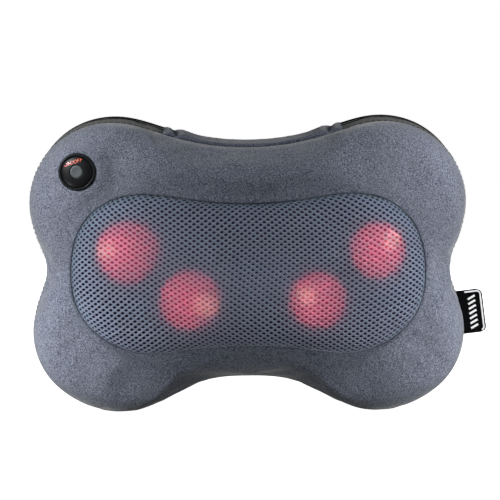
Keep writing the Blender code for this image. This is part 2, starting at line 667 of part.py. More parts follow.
def control_frame():
    """The control's own frame: on the plush surface, its Z along the surface's outward normal."""
    def point(x, z):
        radius, angle = math.hypot(x, z), math.atan2(z, x)
        return Vector((x, -cover_depth(radius, pillow_radius(angle)), z))

    step = 12 * MM
    across = point(CONTROL_X + step, CONTROL_Z) - point(CONTROL_X - step, CONTROL_Z)
    along = point(CONTROL_X, CONTROL_Z + step) - point(CONTROL_X, CONTROL_Z - step)
    normal = across.cross(along).normalized()
    side = across.normalized()
    up = normal.cross(side)
    centre = point(CONTROL_X, CONTROL_Z)
    return Matrix.Translation(centre) @ Matrix((side, up, normal)).transposed().to_4x4()


ROTOR = Matrix.Translation((0, -ROTOR_DEPTH, ROTOR_Z)) @ SIDEWAYS
CONTROL = control_frame()
JACK = Matrix.Translation((0, -JACK_DEPTH, 0))
ZIP_OUT = Matrix.Rotation(math.radians(-90), 4, "X")


def main():
    for obj in list(bpy.data.objects):
        bpy.data.objects.remove(obj)
    plush = material("plush", (0.15, 0.16, 0.19), 0.95)
    mesh_cloth = material("air_mesh", (0.22, 0.29, 0.36), 0.8)
    lining = material("lining", (0.03, 0.03, 0.05), 0.9)
    gusset_cloth = material("gusset_cloth", (0.06, 0.065, 0.06), 0.85)
    foam = material("foam", (0.75, 0.74, 0.68), 0.95)
    label_cloth = material("label_cloth", (0.01, 0.01, 0.01), 0.5)
    black = material("black_plastic", (0.012, 0.012, 0.013), 0.35)
    gloss = material("gloss_black", (0.02, 0.02, 0.02), 0.12)
    grey = material("grey_rubber", (0.1, 0.11, 0.11), 0.6)
    shell = material("housing_plastic", (0.5, 0.51, 0.52), 0.5)
    nylon = material("nylon", (0.85, 0.84, 0.78), 0.45)
    steel = material("steel", (0.6, 0.6, 0.62), 0.3, 1.0)
    brass = material("brass", (0.72, 0.55, 0.28), 0.3, 1.0)
    bronze = material("bronze", (0.55, 0.38, 0.2), 0.4, 1.0)
    copper = material("copper", (0.7, 0.35, 0.2), 0.35, 1.0)
    amber = material("red_cap", (0.75, 0.1, 0.12), 0.35, glow=(0.9, 0.1, 0.12))
    lamp = material("lamp", (0.9, 0.5, 0.3), 0.3, glow=(1.0, 0.35, 0.2))
    board = material("board", (0.03, 0.2, 0.1), 0.5)

    pivot("rotor_pivot", ROTOR)
    build_front_cover(plush)
    build_window("mesh_window", mesh_cloth, 0, MESH_THICK)
    build_window("window_lining", lining, MESH_THICK + GAP, LINING_THICK)
    build_gusset(gusset_cloth)
    build_back_panel(gusset_cloth)
    build_foam(foam)
    build_back_foam(foam)
    build_handle(plush)
    build_label(label_cloth)
    build_zip(black, steel)
    build_rear_housing(shell)
    build_front_housing(shell)
    build_screws(steel)
    build_motor(steel, black, copper)
    build_rotor(steel, brass)
    build_worm_bearings(nylon)
    build_bushes(bronze)
    build_boards(board)
    parts = {"nylon": nylon, "steel": steel, "plastic": shell, "amber": amber, "lamp": lamp,
             "black": black, "gloss": gloss, "grey": grey, "board": board}
    for side in ("left", "right"):
        build_head(side, parts)
    build_control(parts)
    build_jack(black, steel)


main()
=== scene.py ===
"""Visual model of a shiatsu neck massager pillow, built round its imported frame.

Metres, +Z up. The massage side faces -Y, and depth is the distance in front of the back panel, so y = -depth.
"""

import json
from math import atan, atan2, cos, dist, exp, hypot, pi, radians, sin, sqrt

import bmesh
import bpy
import numpy as np
from mathutils import Matrix, Vector, noise


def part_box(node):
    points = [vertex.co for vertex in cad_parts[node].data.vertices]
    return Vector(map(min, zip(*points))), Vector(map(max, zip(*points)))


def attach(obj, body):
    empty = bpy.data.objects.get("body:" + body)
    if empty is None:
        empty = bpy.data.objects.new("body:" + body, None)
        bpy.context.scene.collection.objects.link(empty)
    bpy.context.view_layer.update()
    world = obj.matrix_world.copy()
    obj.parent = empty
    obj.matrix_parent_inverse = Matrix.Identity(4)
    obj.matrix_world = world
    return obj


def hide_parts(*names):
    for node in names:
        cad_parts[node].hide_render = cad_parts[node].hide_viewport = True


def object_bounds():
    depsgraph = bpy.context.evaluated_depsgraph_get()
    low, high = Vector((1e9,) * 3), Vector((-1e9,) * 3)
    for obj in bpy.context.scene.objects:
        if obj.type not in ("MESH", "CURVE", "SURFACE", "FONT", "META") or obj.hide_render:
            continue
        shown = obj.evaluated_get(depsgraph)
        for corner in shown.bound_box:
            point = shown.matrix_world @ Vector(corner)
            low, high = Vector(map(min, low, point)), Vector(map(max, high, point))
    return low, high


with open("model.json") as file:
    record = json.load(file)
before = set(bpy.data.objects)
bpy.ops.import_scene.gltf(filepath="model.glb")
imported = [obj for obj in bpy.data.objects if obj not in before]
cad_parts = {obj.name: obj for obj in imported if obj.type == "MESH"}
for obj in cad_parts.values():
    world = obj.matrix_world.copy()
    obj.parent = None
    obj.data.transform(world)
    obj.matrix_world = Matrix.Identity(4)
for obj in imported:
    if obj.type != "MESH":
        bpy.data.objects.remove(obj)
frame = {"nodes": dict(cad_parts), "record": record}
CAD_BOX = [list(corner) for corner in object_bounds()]

MM = 0.001
TAU = 2 * pi
SHARP = radians(50)
CURVE_POINTS = 1440

RECORD = frame["record"]
JOINTS = {joint["name"]: joint for joint in RECORD["behaviour"]["joints"]}
FLOOR = CAD_BOX[0][2]

# Shape of the pillow, as the CAD has it
SEAM_DEPTH = 56 * MM
SHOULDER_RISE = 22 * MM
SHOULDER_WIDTH = 26 * MM
CROWN_RISE = 5 * MM
DOME_RISE = 22.5 * MM
DOME_POWER = 7
HEAD_X = abs(JOINTS["left_head_spin"]["pos_m"][0])
BALL_DEPTH = 74 * MM
ZIP_HALF = 97 * MM
ZIP_Z = -38 * MM
PILLOW_POINTS = [(0, 91.8), (36, 95), (62, 101.5), (97, 110.7), (130, 105), (153, 86), (165, 55), (161, 26),
                 (153.5, 0), (160, -26), (163.5, -56), (151, -85), (127, -103), (96, -110.7), (57, -97),
                 (32, -86.5), (0, -83.5)]
WINDOW_POINTS = [(0, 51), (40, 54), (76, 58.5), (105, 53), (124, 36), (133, 4), (128, -28), (112, -48),
                 (80, -61), (40, -58), (0, -56)]


def middle(node):
    low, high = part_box(node)
    return (Vector(low) + Vector(high)) / 2


def put(target, **values):
    """Sets several of something's properties, and returns it."""
    for key, value in values.items():
        setattr(target, key, value)
    return target


def turn_angles(count):
    """Evenly spaced angles of a full turn."""
    return np.linspace(0, TAU, count, endpoint=False)


# ---- outlines and surfaces

def smooth_loop(right_half):
    """A periodic cubic curve through the half outline and its mirror image, as (x, z) points."""
    half = np.array(right_half, float) * MM
    points = np.vstack([half, (half * (-1, 1))[-2:0:-1]])
    steps = np.linalg.norm(np.roll(points, -1, 0) - points, axis=1)
    count = len(points)
    system, target = np.zeros((count, count)), np.zeros((count, 2))
    for i in range(count):
        before, after, following = steps[i - 1], steps[i], (i + 1) % count
        system[i, [i - 1, i, following]] = after, 2 * (before + after), before
        target[i] = 3 * (after * (points[i] - points[i - 1]) / before
                         + before * (points[following] - points[i]) / after)
    slopes = np.linalg.solve(system, target)
    made = []
    for i in range(count):
        after = (i + 1) % count
        for t in np.linspace(0, 1, CURVE_POINTS // count, endpoint=False):
            made.append((2 * t**3 - 3 * t**2 + 1) * points[i] + (t**3 - 2 * t**2 + t) * steps[i] * slopes[i]
                        + (3 * t**2 - 2 * t**3) * points[after] + (t**3 - t**2) * steps[i] * slopes[after])
    return np.array(made)


def polar(loop):
    angles = np.arctan2(loop[:, 1], loop[:, 0])
    order = np.argsort(angles)
    angles, radii = angles[order], np.linalg.norm(loop, axis=1)[order]
    return lambda angle: np.interp(angle, angles, radii, period=TAU)


pillow_radius = polar(smooth_loop(PILLOW_POINTS))
window_radius = polar(smooth_loop(WINDOW_POINTS))


def cover_depth(radius, edge):
    """Depth of the plush surface at a radius, where the outline is at edge."""
    share = np.clip((edge - radius) / SHOULDER_WIDTH, 0, 1)
    return (SEAM_DEPTH + SHOULDER_RISE * np.sqrt(1 - (1 - share) ** 2)
            + CROWN_RISE * share * (1 - (radius / edge) ** 2))


def dome_depth(radius, angle):
    """Depth of the air mesh over the massage heads, with shallow dips between and over the two heads."""
    share = np.clip(radius / window_radius(angle), 0, 1)
    x, z = radius * np.cos(angle), radius * np.sin(angle)
    dip = 3.0 * MM * np.exp(-(x / (15 * MM)) ** 2)
    for side in (-1, 1):
        dip = dip + 2.4 * MM * np.exp(-((x - side * HEAD_X) ** 2 + z**2) / (13 * MM) ** 2)
    rise = np.sqrt(1 - share**DOME_POWER)
    return cover_depth(radius, pillow_radius(angle)) + DOME_RISE * rise - dip * rise


def spot(radius, angle, depth):
    """Points from polar places in the pillow's plane, and depths."""
    radius, angle, depth = np.broadcast_arrays(radius, angle, depth)
    return np.stack([radius * np.cos(angle), -depth, radius * np.sin(angle)], -1)


# ---- mesh tools

# How far along a stitch, and how thick it is there
STITCH_SHAPE = [(0.0, 0.35), (0.12, 0.85), (0.5, 1.0), (0.88, 0.85), (1.0, 0.35)]


def turn_outwards(mesh, weld=0.0):
    """Turns a mesh's faces outwards, after joining any points closer than weld."""
    work = bmesh.new()
    work.from_mesh(mesh)
    if weld:
        bmesh.ops.remove_doubles(work, verts=work.verts, dist=weld)
    bmesh.ops.recalc_face_normals(work, faces=work.faces)
    work.to_mesh(mesh)
    work.free()


def add_object(name, data):
    obj = bpy.data.objects.new(name, data)
    bpy.context.scene.collection.objects.link(obj)
    return obj


def add_mesh(name, verts, faces, material, body="pillow", smooth=True):
    """A mesh that rides on a body, with nothing below the floor."""
    mesh = bpy.data.meshes.new(name)
    mesh.from_pydata([(v[0], v[1], max(v[2], FLOOR)) for v in verts], [], faces)
    turn_outwards(mesh)
    if smooth:
        mesh.shade_smooth()
    mesh.materials.append(material)
    obj = add_object(name, mesh)
    if body:
        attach(obj, body)
    return obj


def evaluated(obj):
    """A new mesh of the object as its modifiers leave it."""
    bpy.context.view_layer.update()
    return bpy.data.meshes.new_from_object(obj.evaluated_get(bpy.context.evaluated_depsgraph_get()))


def grid_faces(rows, columns, wrap=True, loop=False, ends=False, base=0):
    """Quads between rows of points, the first of which is number base.

    wrap closes each row, loop joins the last row to the first, and ends caps the first and last rows.
    """
    faces = []
    for i in range(rows if loop else rows - 1):
        low, high = base + i * columns, base + (i + 1) % rows * columns
        for k in range(columns if wrap else columns - 1):
            after = (k + 1) % columns
            faces.append((low + k, low + after, high + after, high + k))
    if ends:
        faces += [tuple(range(start, start + columns)) for start in (base, base + (rows - 1) * columns)]
    return faces


def lathe(name, profile, material, place, body="pillow", segments=64, loop=False, modify=Vector):
    """A turned piece about local Z, from (radius, height) points in mm, capped unless its profile is a loop."""
    verts = [place @ modify((radius * MM * cos(a), radius * MM * sin(a), height * MM))
             for radius, height in profile for a in turn_angles(segments)]
    faces = grid_faces(len(profile), segments, loop=loop, ends=not loop)
    made = add_mesh(name, verts, faces, material, body)
    made.data.set_sharp_from_angle(angle=SHARP)
    return made


def arc(radius, start, end, steps):
    """Points of an arc about the origin, angles in degrees."""
    angles = [radians(start + (end - start) * k / steps) for k in range(steps + 1)]
    return [(radius * cos(a), radius * sin(a)) for a in angles]


def tube(name, path, radius, material, sides):
    """A round tube along a closed loop of points."""
    path = [Vector(p) for p in path]
    verts = []
    for i, point in enumerate(path):
        along = (path[(i + 1) % len(path)] - path[i - 1]).normalized()
        side = along.cross(Vector((0, 1, 0))).normalized()
        up = side.cross(along)
        for k in range(sides):
            a = TAU * k / sides
            verts.append(point + side * radius * cos(a) + up * radius * sin(a))
    return add_mesh(name, verts, grid_faces(len(path), sides, loop=True), material)


def stitches(name, places, material, radius):
    """A row of sewn stitches in one mesh: each place is a stitch's two ends and the way it bows up."""
    verts, faces = [], []
    for start, end, normal in places:
        start, end, normal = Vector(start), Vector(end), Vector(normal).normalized()
        side = (end - start).cross(normal).normalized()
        faces += grid_faces(len(STITCH_SHAPE), 6, ends=True, base=len(verts))
        for t, wide in STITCH_SHAPE:
            centre = start.lerp(end, t) + normal * radius * 0.9 * wide
            for k in range(6):
                a = TAU * k / 6
                verts.append(centre + (side * cos(a) + normal * sin(a)) * radius * wide)
    return add_mesh(name, verts, faces, material)


# ---- materials

class Paint:
    """A procedural material: a Principled shader and the nodes that feed it."""

    def __init__(self, name, roughness, sockets=None, metallic=0.0):
        self.made = bpy.data.materials.new(name)
        self.made.use_nodes = True
        self.tree = self.made.node_tree
        self.shader = self.tree.nodes["Principled BSDF"]
        self.set(self.shader, {"Roughness": roughness, "Metallic": metallic, **(sockets or {})})
        self.coordinates = self.add("TexCoord")
        self.where = self.coordinates["Object"]

    def feed(self, socket, value):
        """Links a socket to another, or sets it: three numbers are a colour where it takes one."""
        if isinstance(value, bpy.types.NodeSocket):
            self.tree.links.new(value, socket)
        else:
            socket.default_value = (*value, 1) if socket.type == "RGBA" else value

    def set(self, node, values):
        for key, value in values.items():
            self.feed(node.inputs[key], value)

    def add(self, kind, values=None, **settings):
        """Adds a shader node, and gives its outputs."""
        node = put(self.tree.nodes.new("ShaderNode" + kind), **settings)
        self.set(node, values or {})
        return node.outputs

    def spread(self, value, low=0.0, high=1.0, to_low=0.0, to_high=1.0):
        """A value with the span from low to high moved to the span from to_low to to_high."""
        return self.add("MapRange", {"Value": value, "From Min": low, "From Max": high, "To Min": to_low,
                                     "To Max": to_high})["Result"]

    def noise(self, scale, detail=3, roughness=0.55, where=None, low=0.3, high=0.7, distortion=0.0):
        """Noise spread from 0 to 1. scale is in features a metre."""
        values = {"Scale": scale, "Detail": detail, "Roughness": roughness, "Distortion": distortion}
        return self.spread(self.add("TexNoise", {"Vector": where or self.where, **values})["Fac"], low, high)

    def bands(self, direction, scale, distortion, **more):
        values = {"Vector": self.where, "Scale": scale, "Distortion": distortion, **more}
        return self.add("TexWave", values, wave_type="BANDS", bands_direction=direction)["Fac"]

    def stretched(self, scale, turn=(0, 0, 0)):
        return self.add("Mapping", {"Vector": self.where, "Scale": scale, "Rotation": turn})["Vector"]

    def math(self, operation, a, b=0.0):
        return self.add("Math", {0: a, 1: b}, operation=operation)[0]

    def mix(self, share, a, b):
        return self.add("Mix", {0: share, 6: a, 7: b}, data_type="RGBA")[2]

    def tint(self, colour, mask, share, other):
        """A colour with up to a share of another mixed in, by the mask."""
        return self.mix(self.math("MULTIPLY", mask, share), colour, other)

    def bump(self, height, distance, strength, under=None):
        """Relief of a height, as much as distance in mm, over any relief under it."""
        below = {"Normal": under} if under else {}
        return self.add("Bump", {"Height": height, "Distance": distance * MM, "Strength": strength, **below})[0]

    def let_through(self, share, values):
        """Lets a share of the light that falls on the back through the surface."""
        glow = self.add("BsdfTranslucent", values)[0]
        both = self.add("MixShader", {0: share, 1: self.shader.outputs[0], 2: glow})[0]
        self.feed(self.tree.nodes["Material Output"].inputs["Surface"], both)

    def finish(self, colour, normal=None, roughness=None):
        wanted = {"Base Color": colour, "Normal": normal, "Roughness": roughness}
        self.set(self.shader, {key: value for key, value in wanted.items() if value is not None})
        return self.made


def plush_paint(name="plush", dark=(0.039, 0.048, 0.08), light=(0.27, 0.292, 0.36), sheen=0.5):
    """Short brushed pile: a fine two-tone speckle, soft patches where the nap lies another way, and sheen."""
    p = Paint(name, 0.95, {"Sheen Weight": sheen, "Sheen Roughness": 0.45, "Sheen Tint": (0.95, 0.96, 0.9),
                           "Specular IOR Level": 0.12})
    speck = p.noise(1150, 3, 0.8, low=0.435, high=0.565)
    nap = p.noise(70, 4, 0.6, low=0.3, high=0.72, distortion=0.6)
    brushed = p.noise(14, 3, 0.5, low=0.32, high=0.68)
    colour = p.mix(speck, dark, light)
    colour = p.tint(colour, nap, 0.28, (0.2, 0.215, 0.255))
    colour = p.tint(colour, brushed, 0.22, (0.085, 0.094, 0.12))
    normal = p.bump(p.noise(1500, 2, 0.7, low=0.25, high=0.75), 0.25, 0.7)
    normal = p.bump(p.noise(420, 3, 0.6), 0.35, 0.6, normal)
    return p.finish(colour, p.bump(nap, 0.5, 0.5, normal))


def woven_paint(name, dark, light, pitch, roughness=0.8, sheen=0.15, gloss=0.25):
    """Plain weave of a pitch in mm: crossed threads in the plane of the cloth, uneven in tone, with fuzz on top."""
    p = Paint(name, roughness, {"Sheen Weight": sheen, "Sheen Roughness": 0.4, "Specular IOR Level": gloss})
    facing = p.add("SeparateXYZ", {"Vector": p.coordinates["Normal"]})
    height = 1.0
    for direction in "XYZ":
        thread = p.bands(direction, 0.5 / (pitch * MM), 0.8, **{"Detail": 1.0, "Detail Scale": 2.0})
        shown = p.spread(p.math("ABSOLUTE", facing[direction]), 0.9, 0.55)
        gap = p.math("MULTIPLY", p.math("SUBTRACT", 1.0, thread), shown)
        height = p.math("MULTIPLY", height, p.math("SUBTRACT", 1.0, gap))
    tone = p.noise(60, 3, 0.6)
    # Colour darker in the gaps between threads: painted shade there, with a random tone mixed in.
    gap_shade_and_tone = p.math("ADD", p.math("MULTIPLY", height, 0.85), p.math("MULTIPLY", tone, 0.22))
    normal = p.bump(height, pitch * 0.35, 0.8)
    return p.finish(p.mix(gap_shade_and_tone, dark, light), p.bump(p.noise(900, 2, 0.6), 0.08, 0.6, normal))


def net_paint():
    """Polyester air-mesh yarn: blue-grey, twisted filaments, letting part of the light behind it through."""
    p = Paint("air_mesh_yarn", 0.55, {"Sheen Weight": 0.25, "Sheen Roughness": 0.35, "Specular IOR Level": 0.35})
    filaments = p.noise(1.0, 2, 0.6, where=p.stretched((1400, 900, 2600), (0.4, 0.3, 0.7)))
    patches = p.noise(28, 3, 0.55)
    colour = p.mix(filaments, (0.176, 0.242, 0.355), (0.33, 0.40, 0.54))
    colour = p.tint(colour, patches, 0.3, (0.15, 0.17, 0.25))
    # Teal towards the window's rim, where the dome turns away steeply: painted sheen on the steep sides.
    painted_rim_sheen = p.spread(p.add("SeparateXYZ", {0: p.where})["Y"], -93 * MM, -80 * MM)
    colour = p.tint(colour, painted_rim_sheen, 0.5, (0.12, 0.26, 0.31))
    normal = p.bump(filaments, 0.12, 0.6)
    p.let_through(0.45, {"Color": (0.85, 0.8, 0.85), "Normal": normal})
    return p.finish(colour, normal)


def lining_paint():
    """Thin dark knit behind the air mesh, which lets a little red light through."""
    p = Paint("lining_knit", 0.9)
    colour = p.mix(p.noise(1200, 2, 0.6), (0.004, 0.018, 0.042), (0.01, 0.037, 0.08))
    p.let_through(0.125, {"Color": (0.66, 0.25, 0.38)})
    return p.finish(colour, p.bump(p.bands("X", 330.0, 1.0), 0.15, 0.5))


def plastic_paint(name, colour, roughness, grain=0.04, scale=1800, gloss=0.5):
    """Moulded plastic with a fine spark-eroded grain and faint handling wear. grain is in mm."""
    p = Paint(name, roughness, {"Specular IOR Level": gloss})
    worn = p.noise(90, 4, 0.65, low=0.35, high=0.75)
    lighter = tuple(min(1.0, c * 1.3 + 0.004) for c in colour)
    rough = p.spread(worn, to_low=roughness * 0.85, to_high=min(1.0, roughness * 1.2))
    return p.finish(p.tint(colour, worn, 0.5, lighter), p.bump(p.noise(scale, 3, 0.6), grain, 0.5), rough)


def metal_paint(name, colour, roughness, turned=True):
    """Machined metal: fine tool marks and a little tarnish."""
    p = Paint(name, roughness, metallic=1.0)
    marks = p.noise(1.0, 2, 0.5, where=p.stretched((200, 4000, 4000) if turned else (3500, 300, 3500)))
    stain = p.noise(120, 4, 0.6)
    tone = p.tint(colour, stain, 0.45, tuple(c * 0.62 for c in colour))
    return p.finish(tone, p.bump(marks, 0.03, 0.5),
                    p.spread(stain, to_low=roughness * 0.8, to_high=roughness * 1.5))


def foam_paint():
    """Open-cell foam: round pores of mixed size."""
    p = Paint("foam_cells", 0.95)
    cells = p.add("TexVoronoi", {"Vector": p.where, "Scale": 700.0})["Distance"]
    # Darker towards the middle of each pore, where it is deepest: painted shade in the pores.
    colour = p.mix(cells, (0.38, 0.36, 0.3), (0.78, 0.76, 0.68))
    colour = p.tint(colour, p.noise(40, 3, 0.6), 0.3, (0.62, 0.57, 0.45))
    return p.finish(colour, p.bump(cells, 0.5, 0.8))


def board_paint():
    """Circuit board: green solder mask over copper tracks."""
    p = Paint("solder_mask", 0.35)
    tracks = p.add("TexBrick", {"Vector": p.stretched((1, 1, 1), (pi / 2, 0, 0)), "Scale": 120.0,
                                "Mortar Size": 0.03, "Color1": (0.01, 0.09, 0.035), "Color2": (0.014, 0.12, 0.05),
                                "Mortar": (0.03, 0.2, 0.08)})
    return p.finish(tracks["Color"], p.bump(p.noise(700, 3, 0.6), 0.04, 0.5))


def glow_paint(name, inner, outer, strength, centre, reach):
    """Translucent red plastic lit from within, its glow changing colour away from a centre in the X-Z plane."""
    p = Paint(name, 0.3, {"Coat Weight": 0.4, "Coat Roughness": 0.15})
    away = p.add("VectorMath", {0: p.where, 1: centre}, operation="SUBTRACT")[0]
    flat = p.add("VectorMath", {0: away, 1: (1, 0, 1)}, operation="MULTIPLY")[0]
    length = p.add("VectorMath", {0: flat}, operation="LENGTH")["Value"]
    cloud = p.noise(240, 3, 0.6)
    share = p.math("ADD", p.spread(length, 0.0, reach), p.math("MULTIPLY", cloud, 0.12))
    p.set(p.shader, {"Emission Color": p.mix(share, inner, outer), "Emission Strength": strength})
    return p.finish(p.mix(cloud, (0.55, 0.03, 0.04), (0.7, 0.07, 0.07)), p.bump(cloud, 0.1, 0.4))


# ---- cloth simulation

CLOTH_FRAMES = 24


def relaxed(points, sewn, growth, pressure, reach):
    """The grid of points after a Cloth simulation in which the fabric is a little larger than the shape it covers.

    sewn holds how firmly each point is held down, and reach how far it may move at most.
    """
    obj = add_mesh("cloth_form", points.reshape(-1, 3), grid_faces(*points.shape[:2]), None, body=None)
    group = obj.vertex_groups.new(name="sewn")
    for index, weight in enumerate(sewn.reshape(-1)):
        if weight > 0:
            group.add([index], float(weight), "REPLACE")
    cloth = obj.modifiers.new("cloth", "CLOTH")
    put(cloth.settings, quality=6, mass=0.25, tension_stiffness=14, compression_stiffness=14, shear_stiffness=6,
        bending_stiffness=0.6, air_damping=3, vertex_group_mass="sewn", shrink_min=-growth, use_pressure=True,
        uniform_pressure_force=pressure)
    cloth.settings.effector_weights.gravity = 0
    cloth.collision_settings.use_collision = False
    put(cloth.point_cache, frame_start=1, frame_end=CLOTH_FRAMES)
    for number in range(1, CLOTH_FRAMES + 1):
        bpy.context.scene.frame_set(number)
    found = np.array([v.co for v in evaluated(obj).vertices]).reshape(points.shape)
    bpy.data.objects.remove(obj)
    bpy.context.scene.frame_set(1)
    moved = found - points
    return points + moved * reach / np.hypot(reach, np.linalg.norm(moved, axis=-1, keepdims=True))


def soft_shell(name, rows, material, thickness, shape):
    """Rows of points round the pillow made into cloth: smoothed, then moved by shape, then given its thickness."""
    rows = np.array(rows)
    obj = add_mesh(name, rows.reshape(-1, 3), grid_faces(len(rows), rows.shape[1]), material)
    put(obj.modifiers.new("smooth", "SUBSURF"), levels=1, render_levels=1)
    obj.data = evaluated(obj)
    obj.modifiers.clear()
    points = shape(*(np.array([getattr(v, kind) for v in obj.data.vertices]) for kind in ("co", "normal")))
    points[:, 2] = np.maximum(points[:, 2], FLOOR)
    obj.data.vertices.foreach_set("co", points.reshape(-1))
    obj.data.shade_smooth()
    put(obj.modifiers.new("thickness", "SOLIDIFY"), thickness=thickness, offset=-1)
    return obj


def ripple(points, size, seed):
    """Smooth noise from -1 to 1 at each point, in patches about size mm wide."""
    shift = Vector((seed, seed * 0.37, -seed))
    return np.array([noise.noise(Vector(point) / (size * MM) + shift) for point in points])


def polar_place(points):
    """Radius and angle of each point in the pillow's plane."""
    return np.hypot(points[:, 0], points[:, 2]), np.arctan2(points[:, 2], points[:, 0])


# ---- the pillow's cover

COLUMNS = 288
FRONT_ROWS = 15
BAND_ROWS = 10
BAND_END = 4.2 * MM
HEM = 2.2 * MM
CONTROL_OUT = -Vector(JOINTS["power_button_press"]["axis"]).normalized()
PLUNGER_MIDDLE = -4.65 * MM
BEZEL_EDGE = 1.7 * MM


def control_place():
    """The control's own frame: on the plush surface, its Z along the surface's outward normal."""
    side = Vector((-CONTROL_OUT.y, CONTROL_OUT.x, 0)).normalized()
    up = CONTROL_OUT.cross(side)
    centre = middle("switch_plunger") - CONTROL_OUT * PLUNGER_MIDDLE
    return Matrix.Translation(centre) @ Matrix((side, up, CONTROL_OUT)).transposed().to_4x4()


CONTROL = control_place()
OUT = np.array(CONTROL_OUT)


def from_control(points):
    """Distance of each point from the control's axis, and its height over the control's own origin."""
    away = points - np.array(CONTROL.translation)
    height = away @ OUT
    return np.linalg.norm(away - height[..., None] * OUT, axis=-1), height


def tucked(edge, angles, depth, *places):
    """Rows of points inside an edge. Each place is how far in it is and how far behind the depth, in mm."""
    return [spot(edge - inset * MM, angles, depth - down * MM) for inset, down in places]


def cover_grid():
    """Front panel from the window's hem to the seam, then the side band to the back seam, as one grid."""
    angles = turn_angles(COLUMNS)
    edge, window = pillow_radius(angles), window_radius(angles) + HEM
    rows = []
    for k in range(FRONT_ROWS):
        radius = window + (edge - window) * sin(pi / 2 * k / (FRONT_ROWS - 1))
        rows.append(spot(radius, angles, cover_depth(radius, edge)))
    for k in range(1, BAND_ROWS):
        rows.append(spot(edge, angles, SEAM_DEPTH + (BAND_END - SEAM_DEPTH) * k / (BAND_ROWS - 1)))
    return np.array(rows), angles


def smoothstep(value, low, high):
    """A smooth rise from 0 to 1 as value, in metres, goes from low to high, in mm."""
    share = np.clip((value - low * MM) / (high * MM - low * MM), 0, 1)
    return share * share * (3 - 2 * share)


def shape_front(points, normals):
    """Puckers beside the seams, soft unevenness in the filling, and the hollow that the control sits in."""
    radius, angle = polar_place(points)
    edge = pillow_radius(angle)
    inset, out = edge - radius, radius - window_radius(angle)
    away, height = from_control(points)
    outside = points[:, 1] < -(SEAM_DEPTH - 0.3 * MM)
    seam = np.exp(-(inset / (9 * MM)) ** 2) * smoothstep(inset, 0.2, 4)
    hem = np.exp(-((out - 4 * MM) / (6 * MM)) ** 2) * smoothstep(out, 2, 5)
    around = np.stack([np.cos(angle) * edge, np.sin(angle) * edge, radius * 0.25], -1)
    lump = ripple(points, 30, 7.7) * smoothstep(out, 3, 14) * smoothstep(inset, 2, 12)
    push = (seam * 0.8 + hem * 0.3) * MM * ripple(around, 9, 3.1) + 0.9 * MM * lump
    moved = points + normals * (push * (away > 17 * MM) * outside)[:, None]
    dip = (1 - smoothstep(away, 10.4, 12.4)) * 5.5 * MM
    hug = np.exp(-(np.clip(away - 14.8 * MM, 0, None) / (6.5 * MM)) ** 2) * smoothstep(away, 11.6, 13.0)
    swell = np.clip(BEZEL_EDGE - height, 0, 4 * MM) * hug
    return moved + OUT * ((swell - dip) * outside)[:, None]


def shape_band(points, normals):
    """Short wrinkles that run from seam to seam, strongest where the outline curves in."""
    radius, angle = polar_place(points)
    arch = np.sin(pi * np.clip((-points[:, 1] - BAND_END) / (SEAM_DEPTH - BAND_END), 0, 1))
    around = np.stack([np.cos(angle) * radius, np.sin(angle) * radius, points[:, 1] * 0.3], -1)
    waist = 0.35 + 0.65 * smoothstep(0.162 - radius, 0, 50)
    push = ripple(around, 10, 5.3) * 0.8 * MM * arch * waist + ripple(points, 26, 9.1) * 0.6 * MM * arch
    return points + normals * push[:, None]


def build_cover(plush, band_cloth, welt, thread):
    """The plush front and the woven side band, wrinkled by simulation and then tucked into their seams."""
    base, angles = cover_grid()
    sewn = np.zeros(base.shape[:2])
    sewn[[0, FRONT_ROWS - 1, FRONT_ROWS + BAND_ROWS - 2]] = 1.0
    sewn[1] = 0.6
    sewn[from_control(base)[0] < 20 * MM] = 1.0
    low = np.abs(base[..., 2] - FLOOR) < 3 * MM
    sewn[low] = np.maximum(sewn[low], 0.7)
    reach = np.full(base.shape[:2] + (1,), 2.0 * MM)
    reach[FRONT_ROWS - 3:] = 0.8 * MM
    reach[FRONT_ROWS:] = 0.5 * MM
    grid = relaxed(base, sewn, 0.022, 0.7, reach)
    grid[..., 2] = np.maximum(grid[..., 2], FLOOR)
    edge, window = pillow_radius(angles), window_radius(angles)
    fold = tucked(window, angles, cover_depth(window + HEM, edge),
                  (-5.5, 3.6), (-2.0, 3.5), (-0.6, 3.1), (-0.05, 2.0), (-0.1, 0.9), (-0.8, 0.2))
    tuck = tucked(edge, angles, SEAM_DEPTH, (0.15, 0.55), (0.8, 0.95), (2.2, 1.0), (4.5, 0.6))
    made = soft_shell("plush_front", [*fold, *grid[:FRONT_ROWS], *tuck], plush, 1.5 * MM, shape_front)
    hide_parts("front_cover")

    start = tucked(edge, angles, SEAM_DEPTH, (4.5, 2.0), (2.2, 1.55), (0.8, 1.6), (0.15, 2.1))
    end = tucked(edge, angles, BAND_END, (0.3, 0.6), (1.2, 0.9), (3.0, 0.9))
    made = soft_shell("side_band", [*start, *grid[FRONT_ROWS:], *end], band_cloth, 1.1 * MM, shape_band)
    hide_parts("side_gusset")
    build_band_seams(grid[FRONT_ROWS - 1:], welt, thread)


def build_band_seams(rows, welt, thread):
    """The dark welt that runs round the side band, and the rows of stitches beside it and behind the front seam."""
    def line(place, lift):
        """Points round the band at a place counted in rows, lifted off the cloth, and the way it faces there."""
        row = int(place)
        points = rows[row] * (row + 1 - place) + rows[row + 1] * (place - row)
        run = np.roll(points, -1, 0) - np.roll(points, 1, 0)
        out = np.stack([run[:, 2], 0 * run[:, 0], -run[:, 0]], -1)
        out /= np.linalg.norm(out, axis=1)[:, None]
        moved = shape_band(points, out) + out * lift
        moved[:, 2] = np.maximum(moved[:, 2], FLOOR + 0.6 * MM)
        return moved, out

    tube("band_welt", line(7.0, 0.15 * MM)[0], 0.6 * MM, welt, 10)
    places = []
    for place, lift in ((0.45, 0.02), (6.35, 0.2), (7.65, 0.2)):
        points, out = line(place, lift * MM)
        places += [(point, point + (after - point) * 0.62, facing)
                   for point, after, facing in zip(points, np.roll(points, -1, 0), out)
                   if point[2] > FLOOR + 1.5 * MM]
    stitches("band_stitches", places, thread, 0.24 * MM)


